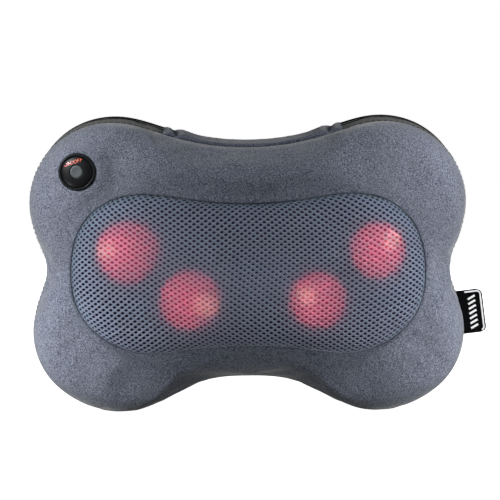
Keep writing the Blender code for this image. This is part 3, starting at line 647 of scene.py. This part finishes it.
def build_back(cloth, cord):
    """The back panel: a thin pad, drawn in round its edge and along the zip, with piping on its seam."""
    angles = turn_angles(240)
    edge = pillow_radius(angles)
    rows = [spot((edge - 1.6 * MM) * sin(pi / 2 * k / 24), angles, 0.0) for k in range(1, 25)]
    rows += tucked(edge, angles, 0, (1.0, -0.7), (1.4, -1.7), (3.5, -2.2))

    def crown(points, _):
        """Swells the face of the pad, but not its edge or the cloth along the zip."""
        radius, angle = polar_place(points)
        swell = (1.3 * MM * smoothstep(pillow_radius(angle) - radius, 1.5, 18)
                 + ripple(points, 34, 2.2) * 0.35 * MM)
        gap = np.hypot(np.clip(np.abs(points[:, 0]) - ZIP_HALF - 2 * MM, 0, None),
                       np.clip(np.abs(points[:, 2] - ZIP_Z) - 3.6 * MM, 0, None))
        dent = 1 - smoothstep(gap, 0, 7)
        points[:, 1] += np.where(points[:, 1] > -0.5 * MM, swell * (1 - dent) - 1.7 * MM * dent, 0)
        return points

    made = soft_shell("back_cloth", rows, cloth, 1.0 * MM, crown)
    close_middle(made.data)
    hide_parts("back_panel")
    angles = turn_angles(360)
    path = spot(pillow_radius(angles) - 0.5 * MM, angles, 2.7 * MM)
    tube("back_piping", path, 1.35 * MM, cord, 12)


def close_middle(mesh):
    """Closes the small hole that rows of points leave in the middle."""
    work = bmesh.new()
    work.from_mesh(mesh)
    rim = [e for e in work.edges if e.is_boundary and e.verts[0].co.xz.length < 30 * MM]
    bmesh.ops.triangle_fill(work, edges=rim, use_beauty=True)
    work.to_mesh(mesh)
    work.free()
    mesh.shade_smooth()


# ---- air mesh

BINS = 720
STEPS = 160
HOLES_ACROSS = 5.9 * MM
HOLES_DOWN = 2.06 * MM
LINING_GAP = 2.5 * MM


def fabric_table():
    """For each direction, the radius at even shares of the fabric's reach, and that reach.

    Fabric is measured partly along the dome and partly across it, since the knit stretches where the dome is steep.
    """
    angles = np.arange(BINS) * TAU / BINS
    table, reach = np.zeros((BINS, STEPS)), np.zeros(BINS)
    for k, angle in enumerate(angles):
        radii = window_radius(angle) * (1 - (1 - np.linspace(0, 1, 200)) ** 2.2)
        depths = dome_depth(radii, angle)
        arc = np.concatenate([[0], np.cumsum(np.hypot(np.diff(radii), np.diff(depths)))])
        give = 0.35 + 0.35 * cos(angle) ** 2
        length = arc * give + radii * (1 - give)
        reach[k] = length[-1]
        table[k] = np.interp(np.linspace(0, 1, STEPS), length / length[-1], radii)
    return table, reach


def drape(u, v, table, reach):
    """Where points of the flat fabric come to lie: radius, angle, and how far past the window's edge they are."""
    v = v - 2.4 * MM * np.cos(u / (44 * MM)) + 1.0 * MM * np.sin(u / (17 * MM) + v / (30 * MM))
    u = u + 1.3 * MM * np.sin(v / (15 * MM) + u / (60 * MM))
    length, angle = np.hypot(u, v), np.arctan2(v, u) % TAU
    place = angle / TAU * BINS
    low = np.floor(place).astype(int) % BINS
    high, share = (low + 1) % BINS, place - np.floor(place)
    end = reach[low] * (1 - share) + reach[high] * share
    step = np.clip(length / end, 0, 1) * (STEPS - 1)
    left = np.minimum(np.floor(step).astype(int), STEPS - 2)
    part = step - left
    rows = [table[k, left] * (1 - part) + table[k, left + 1] * part for k in (low, high)]
    return rows[0] * (1 - share) + rows[1] * share, angle, length - end


def build_net(yarn):
    """Air mesh over the window: staggered rows of oval holes, every one cut through the knitted sheet."""
    table, reach = fabric_table()
    corners = [(2.175, 0), (0.775, 2.06), (-0.775, 2.06), (-2.175, 0), (-0.775, -2.06), (0.775, -2.06)]
    outline = []
    for (ax, az), (bx, bz) in zip(corners, corners[1:] + corners[:1]):
        outline += [(ax, az), ((ax + bx) / 2, (az + bz) / 2)]
    outline = np.array(outline) * MM
    turn = np.arctan2(outline[:, 1], outline[:, 0])
    oval = 1 / np.hypot(np.cos(turn) / (1.36 * MM), np.sin(turn) / (0.92 * MM))
    sink = np.array([0.3, 0.05] * 6) * MM
    rows, columns = int(76 * MM / HOLES_DOWN), int(150 * MM / HOLES_ACROSS)
    middles = np.array([((column + 0.5 * (row % 2)) * HOLES_ACROSS, row * HOLES_DOWN)
                        for row in range(-rows, rows + 1) for column in range(-columns, columns + 1)])
    middles = middles[drape(middles[:, 0], middles[:, 1], table, reach)[2] < 2.5 * MM]
    x, z = middles[:, 0], middles[:, 1]
    size = 1.04 - 0.26 * np.exp(-(x / (52 * MM)) ** 2 - ((z + 2 * MM) / (24 * MM)) ** 2)
    lean = 0.30 * np.sin(x / (31 * MM) + z / (23 * MM))
    hole = oval[None, :, None] * size[:, None, None] * np.stack([np.cos(turn), np.sin(turn)], -1)[None]
    hole[..., 0] += lean[:, None] * hole[..., 1]
    rings = []
    for share, depth, sunk in ((0.0, 0.0, 1.0), (0.5, 0.22, 0.5), (1.0, 0.85, 0.0), (0.0, 1.5, -1.0)):
        flat = middles[:, None, :] + outline[None] * (1 - share) + hole * share
        radius, angle, past = drape(flat[..., 0], flat[..., 1], table, reach)
        under = depth * MM + sink[None] * sunk + np.clip(past, 0, 4 * MM)
        rings.append(spot(radius - 0.05 * MM, angle, dome_depth(radius, angle) - under))
    verts = np.stack(rings, 1).reshape(-1, 3)
    faces = [face for cell in range(len(middles)) for face in grid_faces(4, 12, base=cell * 48)]
    made = add_mesh("air_mesh", verts, faces, yarn)
    turn_outwards(made.data, weld=0.01 * MM)
    made.data.shade_smooth()
    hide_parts("mesh_window")


def build_lining(knit):
    """The dark knit under the air mesh, stretched over the same dome and caught under the window's hem."""
    angles = turn_angles(180)
    window = window_radius(angles)
    verts = [spot(0, 0, dome_depth(0.0, 0.0) - LINING_GAP)[None]]
    for k in range(1, 41):
        radius = (window - 1.2 * MM) * sin(pi / 2 * k / 40)
        verts.append(spot(radius, angles, dome_depth(radius, angles) - LINING_GAP))
    verts += tucked(window, angles, cover_depth(window + HEM, pillow_radius(angles)),
                    (0.9, 4.3), (-0.5, 5.6), (-6, 6.0))
    faces = [(0, 1 + k, 1 + (k + 1) % 180) for k in range(180)] + grid_faces(len(verts) - 1, 180, base=1)
    made = add_mesh("dark_lining", np.concatenate(verts), faces, knit)
    put(made.modifiers.new("thickness", "SOLIDIFY"), thickness=0.4 * MM)
    made.visible_shadow = False
    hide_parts("window_lining")


# ---- strap and label

STRAP_LEFT = -64.4 * MM
STRAP_RIGHT = 72.6 * MM
STRAP_SLANT = 3.6 * MM
STRAP_SEWN = 8.6 * MM


def strap_height(x, share):
    """Height of the strap's top at a share of its width: a folded end, a sewn pinch, a hump and the plain strap."""
    run = min(x - STRAP_LEFT, STRAP_RIGHT - x) - STRAP_SLANT * (0.5 - share)
    places = np.array([-3, 0, 1.2, 3.5, 6.6, 8.3, 8.9, 10.2, 14.5, 20, 27, 40]) * MM
    heights = np.array([0.4, 0.8, 2.6, 3.7, 3.5, 1.1, 1.1, 3.6, 5.0, 4.3, 3.3, 3.0]) * MM
    return float(np.interp(run, places, heights))


def build_strap(plush, thread):
    """Carry strap over the top waist, its ends turned under and sewn across on a slant."""
    loop = smooth_loop(PILLOW_POINTS)
    top = loop[(loop[:, 1] > 0) & (abs(loop[:, 0]) < 90 * MM)]
    top = top[np.argsort(top[:, 0])]

    def band_top(x):
        return float(np.interp(x, top[:, 0], top[:, 1]))

    stations, across = 150, 14
    front, back = SEAM_DEPTH + 0.3 * MM, -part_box("carry_handle")[1].y + 1 * MM
    shares = [k / across for k in range(across + 1)]
    verts = []
    for i in range(stations + 1):
        x = STRAP_LEFT + (STRAP_RIGHT - STRAP_LEFT) * i / stations
        out = Vector((band_top(x - 1 * MM) - band_top(x + 1 * MM), 0, 2 * MM)).normalized()
        foot = Vector((x, 0, band_top(x))) + out * 0.1 * MM
        narrow = 1.2 * MM * exp(-((min(x - STRAP_LEFT, STRAP_RIGHT - x) - STRAP_SEWN) / (3 * MM)) ** 2)
        depths = [front - narrow + (back - front + 2 * narrow) * t for t in shares]
        for t, depth in zip(shares, depths):
            height = (strap_height(x, t) * (1.0 - 0.28 * abs(2 * t - 1) ** 3)
                      + 0.18 * MM * noise.noise(Vector((x, depth, 0)) / (7 * MM)))
            verts.append(foot + out * height + Vector((0, -depth, 0)))
        verts += [foot - out * 2.2 * MM + Vector((0, -depth, 0)) for depth in reversed(depths[1:-1])]
    made = add_mesh("strap", verts, grid_faces(stations + 1, 2 * across, ends=True), plush)
    put(made.modifiers.new("smooth", "SUBSURF"), levels=1, render_levels=1)
    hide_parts("carry_handle")
    places = []
    for end in (-1, 1):
        for k in range(9):
            points = []
            for share in (0.1 + 0.8 * k / 8, 0.1 + 0.8 * k / 8 + 0.055):
                run = STRAP_SEWN + STRAP_SLANT * (0.5 - share)
                x = STRAP_LEFT + run if end < 0 else STRAP_RIGHT - run
                points.append(Vector((x, -(front + (back - front) * share), band_top(x) + 1.25 * MM)))
            places.append((*points, (0, 0, 1)))
    stitches("strap_tacks", places, thread, 0.3 * MM)


LABEL_LEAN = radians(7.0)


def build_label(cloth, print_paint):
    """Folded satin label with rounded outer corners, a printed border on two sides and slanted bars."""
    low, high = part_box("side_label")
    top, bottom = high.z + 0.4 * MM, low.z - 0.2 * MM
    tall = top - bottom
    inner, outer, corner = -14 * MM, 16.8 * MM, 4.2 * MM
    place = (Matrix.Translation((high.x - 17.0 * MM, (low.y + high.y) / 2, (top + bottom) / 2 - 2.3 * MM))
             @ Matrix.Rotation(-LABEL_LEAN, 4, "Y"))

    def bow(u, v, lift):
        """Onto the label's slightly bent middle, lifted towards one face or the other."""
        bend = 1.3 * MM * (max(u, 0) / outer) ** 2 + 0.25 * MM * sin(v / (7 * MM))
        return place @ Vector((u, -bend - lift, v))

    columns, rows = 26, 30
    verts = []
    for face in (1, -1):
        for j in range(rows + 1):
            v = -tall / 2 + tall * j / rows
            past = max(abs(v) - (tall / 2 - corner), 0)
            reach = outer - corner + sqrt(max(corner**2 - past**2, 0))
            for i in range(columns + 1):
                u = inner + (reach - inner) * sin(pi / 2 * i / columns) ** 0.9
                half = float(0.35 * MM * smoothstep(reach - u, 0, 0.9) + 0.25 * MM)
                verts.append(bow(u, v, face * half))
    wide = columns + 1
    count = wide * (rows + 1)
    rim = (list(range(wide)) + [(j + 1) * wide - 1 for j in range(1, rows + 1)]
           + [rows * wide + i for i in range(columns - 1, -1, -1)] + [j * wide for j in range(rows - 1, 0, -1)])
    faces = [*grid_faces(rows + 1, wide, wrap=False), *grid_faces(rows + 1, wide, wrap=False, base=count),
             *((a, b, b + count, a + count) for a, b in zip(rim, rim[1:] + rim[:1]))]
    made = add_mesh("label", verts, faces, cloth)
    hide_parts("side_label")

    margin = 1.6 * MM

    def bend(v, start, end):
        """The border's part round a corner that turns about v."""
        return [(outer - corner + (corner - margin) * sin(a), v + (corner - margin) * cos(a))
                for a in np.linspace(start, end, 8)]

    line = [(u * MM, tall / 2 - margin) for u in np.linspace(3.6, 11.4, 8)]
    line += bend(tall / 2 - corner, 0.1, pi / 2)
    line += [(outer - margin, v) for v in np.linspace(tall / 2 - corner - 1 * MM, -tall / 2 + corner + 1 * MM, 14)]
    line += bend(-tall / 2 + corner, pi / 2, pi - 0.3)
    marks = [(line, 0.6 * MM)]
    for k in range(-3, 4):
        v = k * 3.75 * MM - 0.6 * MM
        bar = [(5.4 * MM + t * 5.6 * MM, v + (t - 0.5) * 2.6 * MM) for t in np.linspace(0, 1, 6)]
        marks.append((bar, 0.78 * MM))
    verts, faces = [], []
    for face in (1, -1):
        for points, half in marks:
            faces += grid_faces(len(points), 4, ends=True, base=len(verts))
            for i, (u, v) in enumerate(points):
                before, after = points[max(i - 1, 0)], points[min(i + 1, len(points) - 1)]
                du, dv = after[0] - before[0], after[1] - before[1]
                length = hypot(du, dv)
                nu, nv = -dv / length * half, du / length * half
                for side, lift in ((1, 0.5), (1, 0.72), (-1, 0.72), (-1, 0.5)):
                    verts.append(bow(u + nu * side, v + nv * side, face * lift * MM))
    add_mesh("label_print", verts, faces, print_paint, smooth=False)


# ---- control, zip and inlet

TOOTH_PITCH = 1.5 * MM


def rounded(profile, radius, steps=3):
    """The closed profile with each corner replaced by a small curve."""
    made = []
    for i, corner in enumerate(profile):
        ends = []
        for other in (profile[i - 1], profile[(i + 1) % len(profile)]):
            length = dist(corner, other)
            cut = min(radius, length * 0.4) / max(length, 1e-9)
            ends.append([corner[n] + (other[n] - corner[n]) * cut for n in (0, 1)])
        for k in range(steps + 1):
            t = k / steps
            made.append(tuple((1 - t) ** 2 * ends[0][n] + 2 * t * (1 - t) * corner[n] + t**2 * ends[1][n]
                              for n in (0, 1)))
    return made


def face_height(radius):
    """Height of the control's domed face, in mm, at a radius in mm."""
    return float(np.interp(radius, [5.2, 7.6, 10, 11.9], [4.8, 4.5, 3.8, 2.6]))


def build_control(black, gloss, rubber, lit):
    """The bezel, the domed face with its lit mark, and the push button with its soft rim."""
    ring = [(11.3, -2.9), (11.3, -0.1), (14.0, 1.1), (14.25, 2.2), (13.4, 3.5), (12.2, 3.5), (12.1, 1.0), (10.2, 1.0),
            (10.2, -2.9)]
    bezel = lathe("control_ring", rounded(ring, 0.4), black, CONTROL, segments=96, loop=True)
    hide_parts("control_bezel")
    crown = [(11.95, 1.3), (11.95, 2.5), (11.5, 3.0), (10.8, 3.45), (10, 3.8), (8.8, 4.2), (7.6, 4.5), (6.2, 4.7),
             (5.5, 4.8), (5.2, 4.6), (5.2, 1.3)]
    lens = lathe("control_lens", rounded(crown, 0.12, 2), gloss, CONTROL, segments=96, loop=True)
    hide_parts("control_face")
    button = lathe("button_cap", [(5.9, -1.5), (5.9, -0.5), (4.95, -0.4), (4.95, 4.6), (4.8, 5.05), (4.4, 5.35),
                                  (3.6, 5.45), (2.4, 5.3), (1.2, 5.2), (0.4, 5.18)], rubber, CONTROL, "power_button")
    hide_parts("power_button")

    letters = put(bpy.data.curves.new("on_off", "FONT"), body="ON/OFF", size=3.75 * MM, space_character=1.08,
                  align_x="CENTER", align_y="CENTER", extrude=0.06 * MM, offset=0.01 * MM, shear=0.12)
    form = add_object("on_off_form", letters)
    mesh = evaluated(form)
    bpy.data.objects.remove(form)
    turn = Matrix.Rotation(radians(18), 4, "Z")
    for vert in mesh.vertices:
        flat = turn @ vert.co + Vector((-3.0 * MM, 6.9 * MM, 0))
        height = vert.co.z + (face_height(hypot(flat.x, flat.y) / MM) + 0.03) * MM
        vert.co = CONTROL @ Vector((flat.x, flat.y, height))
    mesh.materials.clear()
    mesh.materials.append(lit)
    text = add_object("on_off_mark", mesh)
    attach(text, "pillow")


def build_zip(tape, thread):
    """Woven tape and coil teeth in the back panel, with a row of stitches on each side."""
    columns, rows = 120, 12
    steps = [-3.2 + 6.4 * k / rows for k in range(rows + 1)]
    verts = []
    for i in range(columns + 1):
        x = -ZIP_HALF + 2 * ZIP_HALF * i / columns
        verts += [(x, (-0.9 + 0.25 * cos(v * 2.2)) * MM, ZIP_Z + v * MM) for v in steps]
        verts += [(x, -2.4 * MM, ZIP_Z + v * MM) for v in reversed(steps)]
    made = add_mesh("zip_tape", verts, grid_faces(columns + 1, 2 * (rows + 1), ends=True), tape)
    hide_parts("zip_chain")

    verts, faces = [], []
    slider = middle("zip_slider").x
    for k in range(int(2 * (ZIP_HALF - 4 * MM) / TOOTH_PITCH)):
        for side in (-1, 1):
            x = -ZIP_HALF + 4 * MM + (k + 0.25 * side) * TOOTH_PITCH
            if abs(x - slider) < 4.5 * MM:
                continue
            faces += grid_faces(4, 6, ends=True, base=len(verts))
            for t, swell in ((-1.0, 0.55), (-0.5, 1.0), (0.55, 1.0), (1.0, 0.5)):
                for a in range(6):
                    turn = TAU * a / 6
                    verts.append((x + 0.36 * MM * swell * cos(turn),
                                  (-0.45 + 0.42 * swell * sin(turn)) * MM,
                                  ZIP_Z + side * 0.55 * MM + t * 1.25 * MM))
    add_mesh("zip_teeth", verts, faces, tape)

    places = []
    for z in (ZIP_Z - 6.2 * MM, ZIP_Z + 6.2 * MM):
        for k in range(66):
            x = -ZIP_HALF + 1 * MM + k * 2.95 * MM
            places.append(((x, -0.15 * MM, z), (x + 2.1 * MM, -0.15 * MM, z), (0, 1, 0)))
    stitches("zip_stitches", places, thread, 0.26 * MM)


def build_inlet(plastic, metal):
    """The power inlet's barrel, open below with a pin inside, and the nut that holds it."""
    low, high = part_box("power_inlet")
    place = Matrix.Translation(((low.x + high.x) / 2, (low.y + high.y) / 2, 0))
    base, top = low.z / MM, high.z / MM
    barrel = [(0.6, top), (5.3, top), (5.4, top - 0.2), (5.4, top - 0.2), (5.4, base + 0.3), (5.2, base), (3.1, base),
              (2.9, base + 0.25), (2.9, base + 12.2), (1.1, base + 12.2), (1.1, base + 4.6), (0.8, base + 4.1),
              (0.3, base + 4.0)]
    made = lathe("inlet_socket", barrel, plastic, place)
    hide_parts("power_inlet")
    low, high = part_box("inlet_ring")
    base, top = low.z / MM, high.z / MM
    ring = rounded([(5.6, base), (9.4, base), (10.3, base + 0.8), (10.4, top), (5.6, top)], 0.35)
    made = lathe("inlet_nut", ring, metal, place, loop=True)
    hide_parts("inlet_ring")


# ---- massage caps and their lights

# Each cap: the radius of its dome, how wide its beam is, and where its hot spot is, across and up, in mm
CAPS = {("left", "large"): (22.0, 25.5, (-13, 1)), ("left", "small"): (20.0, 21.5, (12, -3)),
        ("right", "large"): (22.0, 23.5, (10, 7)), ("right", "small"): (20.0, 20.5, (-6, 3))}


def build_caps():
    """The four massage caps, each a fluted dome lit from within, with its lamp's beams on the cloth above."""
    for (side, size), (radius, spread, (across, up)) in CAPS.items():
        name = f"{side}_{size}"
        centre = middle(f"{name}_cap")
        centre.y = -BALL_DEPTH
        away = (centre - Vector((-HEAD_X if side == "left" else HEAD_X, -BALL_DEPTH, 0))).normalized()
        place = Matrix.Translation(centre) @ Matrix.Rotation(radians(90), 4, "X")
        profile = arc(radius - 2, 88, -29, 20) + arc(radius, -27, 88, 24)
        paint = glow_paint(f"{name}_glow", (1.0, 0.5, 0.2), (0.75, 0.02, 0.06), 0.15,
                           tuple(centre + away * 8 * MM), 22 * MM)

        def fluted(point):
            """Shallow flutes down the dome's side."""
            v = Vector(point)
            if hypot(v.x, v.y) < 4 * MM or v.length < (radius - 1) * MM:
                return v
            depth = 0.25 * MM * (0.5 + 0.5 * cos(24 * atan2(v.y, v.x))) * min(1, v.z / (8 * MM) + 0.6)
            return v * (1 - max(depth, 0) / v.length)

        cap = lathe(f"{name}_dome", profile, paint, place, f"{side}_head", 96, modify=fluted)
        cap.visible_shadow = False
        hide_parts(f"{name}_cap")
        frame["nodes"][f"{name}_lamp"].visible_shadow = False
        start = centre + Vector((0, -1 * MM, 0))
        aim = Vector((2.4 * MM, -26 * MM, 0)).normalized()
        hot = (aim * 26 * MM + Vector((across * MM, 0, up * MM))).normalized()
        beam(f"{name}_beam", cap, start, aim, spread / 25, 0.25, (1.0, 0.068, 0.135), 0.09)
        beam(f"{name}_halo", cap, start, aim, 1.6 * spread / 25, 1.0, (1.0, 0.08, 0.15), 0.031)
        beam(f"{name}_core", cap, start, hot, 9 / 27, 1.0, (1.0, 0.6, 0.34), 0.125)


def aimed(place, direction):
    """The matrix of a light or camera at a place that points in a direction."""
    return Matrix.Translation(place) @ direction.to_track_quat("-Z", "Y").to_matrix().to_4x4()


def beam(name, cap, start, direction, slope, blend, colour, power):
    """A spot light inside a cap that turns with it. slope is its half width over its length."""
    light = put(bpy.data.lights.new(name, "SPOT"), energy=power, color=colour, spot_size=2 * atan(slope),
                spot_blend=blend, shadow_soft_size=1.5 * MM)
    obj = put(add_object(name, light), matrix_world=aimed(start, direction))
    bpy.context.view_layer.update()
    world = obj.matrix_world.copy()
    put(obj, parent=cap, matrix_parent_inverse=cap.matrix_world.inverted(), matrix_world=world)


# ---- stage

WORLD_LIGHT = 0.025
FLOOR_GAP = 0.05 * MM
# Each panel: name, place, what it points at, its sides, its spread in degrees and its power in watts
PANELS = [("left_top_panel", (-0.26, -0.22, 0.19), (-0.125, -0.07, 0.05), (0.08, 0.08), 80, 0.15),
          ("right_top_panel", (0.26, -0.22, 0.19), (0.125, -0.07, 0.05), (0.08, 0.08), 80, 0.145),
          ("left_low_panel", (-0.27, -0.18, -0.075), (-0.13, -0.07, -0.05), (0.08, 0.06), 90, 0.115),
          ("right_low_panel", (0.27, -0.18, -0.075), (0.13, -0.07, -0.05), (0.08, 0.06), 90, 0.10),
          ("top_panel", (0, 0.1, 0.6), (0, -0.03, 0), (0.5, 0.3), 180, 0.45),
          ("back_panel_light", (0.15, 0.8, -0.04), (0, -0.07, -0.01), (0.9, 0.12), 180, 8.0)]


def build_stage():
    """A pale floor that lights nothing, two small panels close to each side, and large ones above and behind."""
    paint = Paint("studio_floor", 0.9, {"Emission Color": (1, 1, 1), "Emission Strength": 1.0})
    paint.finish(paint.mix(paint.noise(3, 2, 0.5), (0.84, 0.84, 0.84), (0.88, 0.88, 0.88)))
    floor = add_mesh("studio_floor", [(-12, -8, 0), (12, -8, 0), (12, 30, 0), (-12, 30, 0)], [(0, 1, 2, 3)],
                     paint.made, None)
    floor.location.z = FLOOR - FLOOR_GAP
    floor.visible_diffuse = floor.visible_glossy = False
    world = bpy.data.worlds.new("studio")
    bpy.context.scene.world = world
    world.use_nodes = True
    sky = world.node_tree.nodes["Background"].inputs
    sky["Color"].default_value = (1, 1, 1, 1)
    sky["Strength"].default_value = WORLD_LIGHT
    for name, place, target, (wide, tall), spread, power in PANELS:
        light = put(bpy.data.lights.new(name, "AREA"), shape="RECTANGLE", size=wide, size_y=tall,
                    spread=radians(spread), energy=power)
        put(add_object(name, light), matrix_world=aimed(Vector(place), Vector(target) - Vector(place)),
            visible_camera=False)


CAMERA_RISE = radians(7.2)
CAMERA_ROLL = radians(0.4)
CAMERA_AWAY = 2.0
CAMERA_TARGET = Vector((1.5 * MM, -52 * MM, 12.9 * MM))
VIEW_WIDTH = 0.381


def build_camera():
    """A long lens, a little above the pillow's middle."""
    camera = put(bpy.data.cameras.new("camera"), sensor_width=36, lens=36 * CAMERA_AWAY / VIEW_WIDTH, clip_end=100)
    away = Vector((0, -cos(CAMERA_RISE), sin(CAMERA_RISE))) * CAMERA_AWAY
    obj = add_object("camera", camera)
    obj.matrix_world = aimed(CAMERA_TARGET + away, -away) @ Matrix.Rotation(-CAMERA_ROLL, 4, "Z")
    bpy.context.scene.camera = obj
    bpy.context.scene.view_settings.view_transform = "Standard"


def slot_paints():
    """The material for each of the record's slots."""
    return {
        "plush": plush_paint(),
        "air_mesh": net_paint(),
        "lining": lining_paint(),
        "gusset_cloth": woven_paint("band_weave", (0.085, 0.093, 0.086), (0.25, 0.267, 0.252), 0.8),
        "foam": foam_paint(),
        "label_cloth": woven_paint("label_satin", (0.0012, 0.0012, 0.0015), (0.003, 0.003, 0.0035), 0.35, 0.6,
                                   sheen=0.0, gloss=0.04),
        "zip_tape": woven_paint("zip_weave", (0.006, 0.006, 0.006), (0.018, 0.018, 0.018), 0.5, 0.6),
        "black_plastic": plastic_paint("black_abs", (0.005, 0.0065, 0.009), 0.42, 0.02, gloss=0.22),
        "gloss_black": plastic_paint("gloss_face", (0.005, 0.0055, 0.0065), 0.45, 0.008, 900, 0.22),
        "grey_rubber": plastic_paint("button_rubber", (0.055, 0.066, 0.072), 0.55, 0.03, 1400),
        "housing_plastic": plastic_paint("housing_paint", (0.42, 0.42, 0.4), 0.45, 0.05, 1500),
        "nylon": plastic_paint("nylon_gear", (0.72, 0.7, 0.62), 0.42, 0.03),
        "steel": metal_paint("steel", (0.52, 0.53, 0.55), 0.28),
        "brass": metal_paint("brass", (0.72, 0.5, 0.2), 0.3),
        "bronze": metal_paint("sintered_bronze", (0.5, 0.32, 0.16), 0.42, False),
        "copper": metal_paint("copper_winding", (0.7, 0.32, 0.16), 0.35),
        "red_cap": glow_paint("cap_red", (1.0, 0.4, 0.2), (0.7, 0.03, 0.06), 0.5, (0, 0, 0), 0.2),
        "lamp": glow_paint("lamp_lit", (1.0, 0.75, 0.5), (1.0, 0.4, 0.2), 0.4, (0, 0, 0), 0.2),
        "board": board_paint(),
    }


build_camera()
build_stage()
paints = slot_paints()
slots = {part["node"]: part["material_slot"] for part in RECORD["subparts"]}
dark_metal = metal_paint("black_nickel", (0.11, 0.11, 0.12), 0.36, False)
for node, obj in frame["nodes"].items():
    obj.data.materials.clear()
    obj.data.materials.append(dark_metal if node in ("zip_slider", "zip_pull") else paints[slots[node]])
seam_thread = woven_paint("seam_thread", (0.03, 0.033, 0.035), (0.07, 0.075, 0.08), 0.3)
welt_cord = woven_paint("welt_cord", (0.004, 0.004, 0.004), (0.012, 0.012, 0.012), 0.4, 0.7, gloss=0.1)
white_print = woven_paint("white_print", (0.82, 0.82, 0.82), (0.95, 0.95, 0.95), 0.3, 0.5)
lit_mark = glow_paint("lit_mark", (0.62, 0.055, 0.07), (0.8, 0.24, 0.04), 0.5,
                      tuple(CONTROL @ Vector((-9.5 * MM, 4 * MM, 4 * MM))), 14 * MM)
build_cover(paints["plush"], paints["gusset_cloth"], welt_cord, seam_thread)
build_back(paints["gusset_cloth"], welt_cord)
build_net(paints["air_mesh"])
build_lining(paints["lining"])
build_caps()
# The strap's plush is a darker copy of the front's plush with less sheen: its darker colours are painted shade.
build_strap(plush_paint("strap_plush_shaded", (0.03, 0.036, 0.062), (0.19, 0.205, 0.27), 0.25), seam_thread)
build_label(paints["label_cloth"], white_print)
build_control(paints["black_plastic"], paints["gloss_black"], paints["grey_rubber"], lit_mark)
build_zip(paints["zip_tape"], seam_thread)
build_inlet(paints["black_plastic"], paints["steel"])
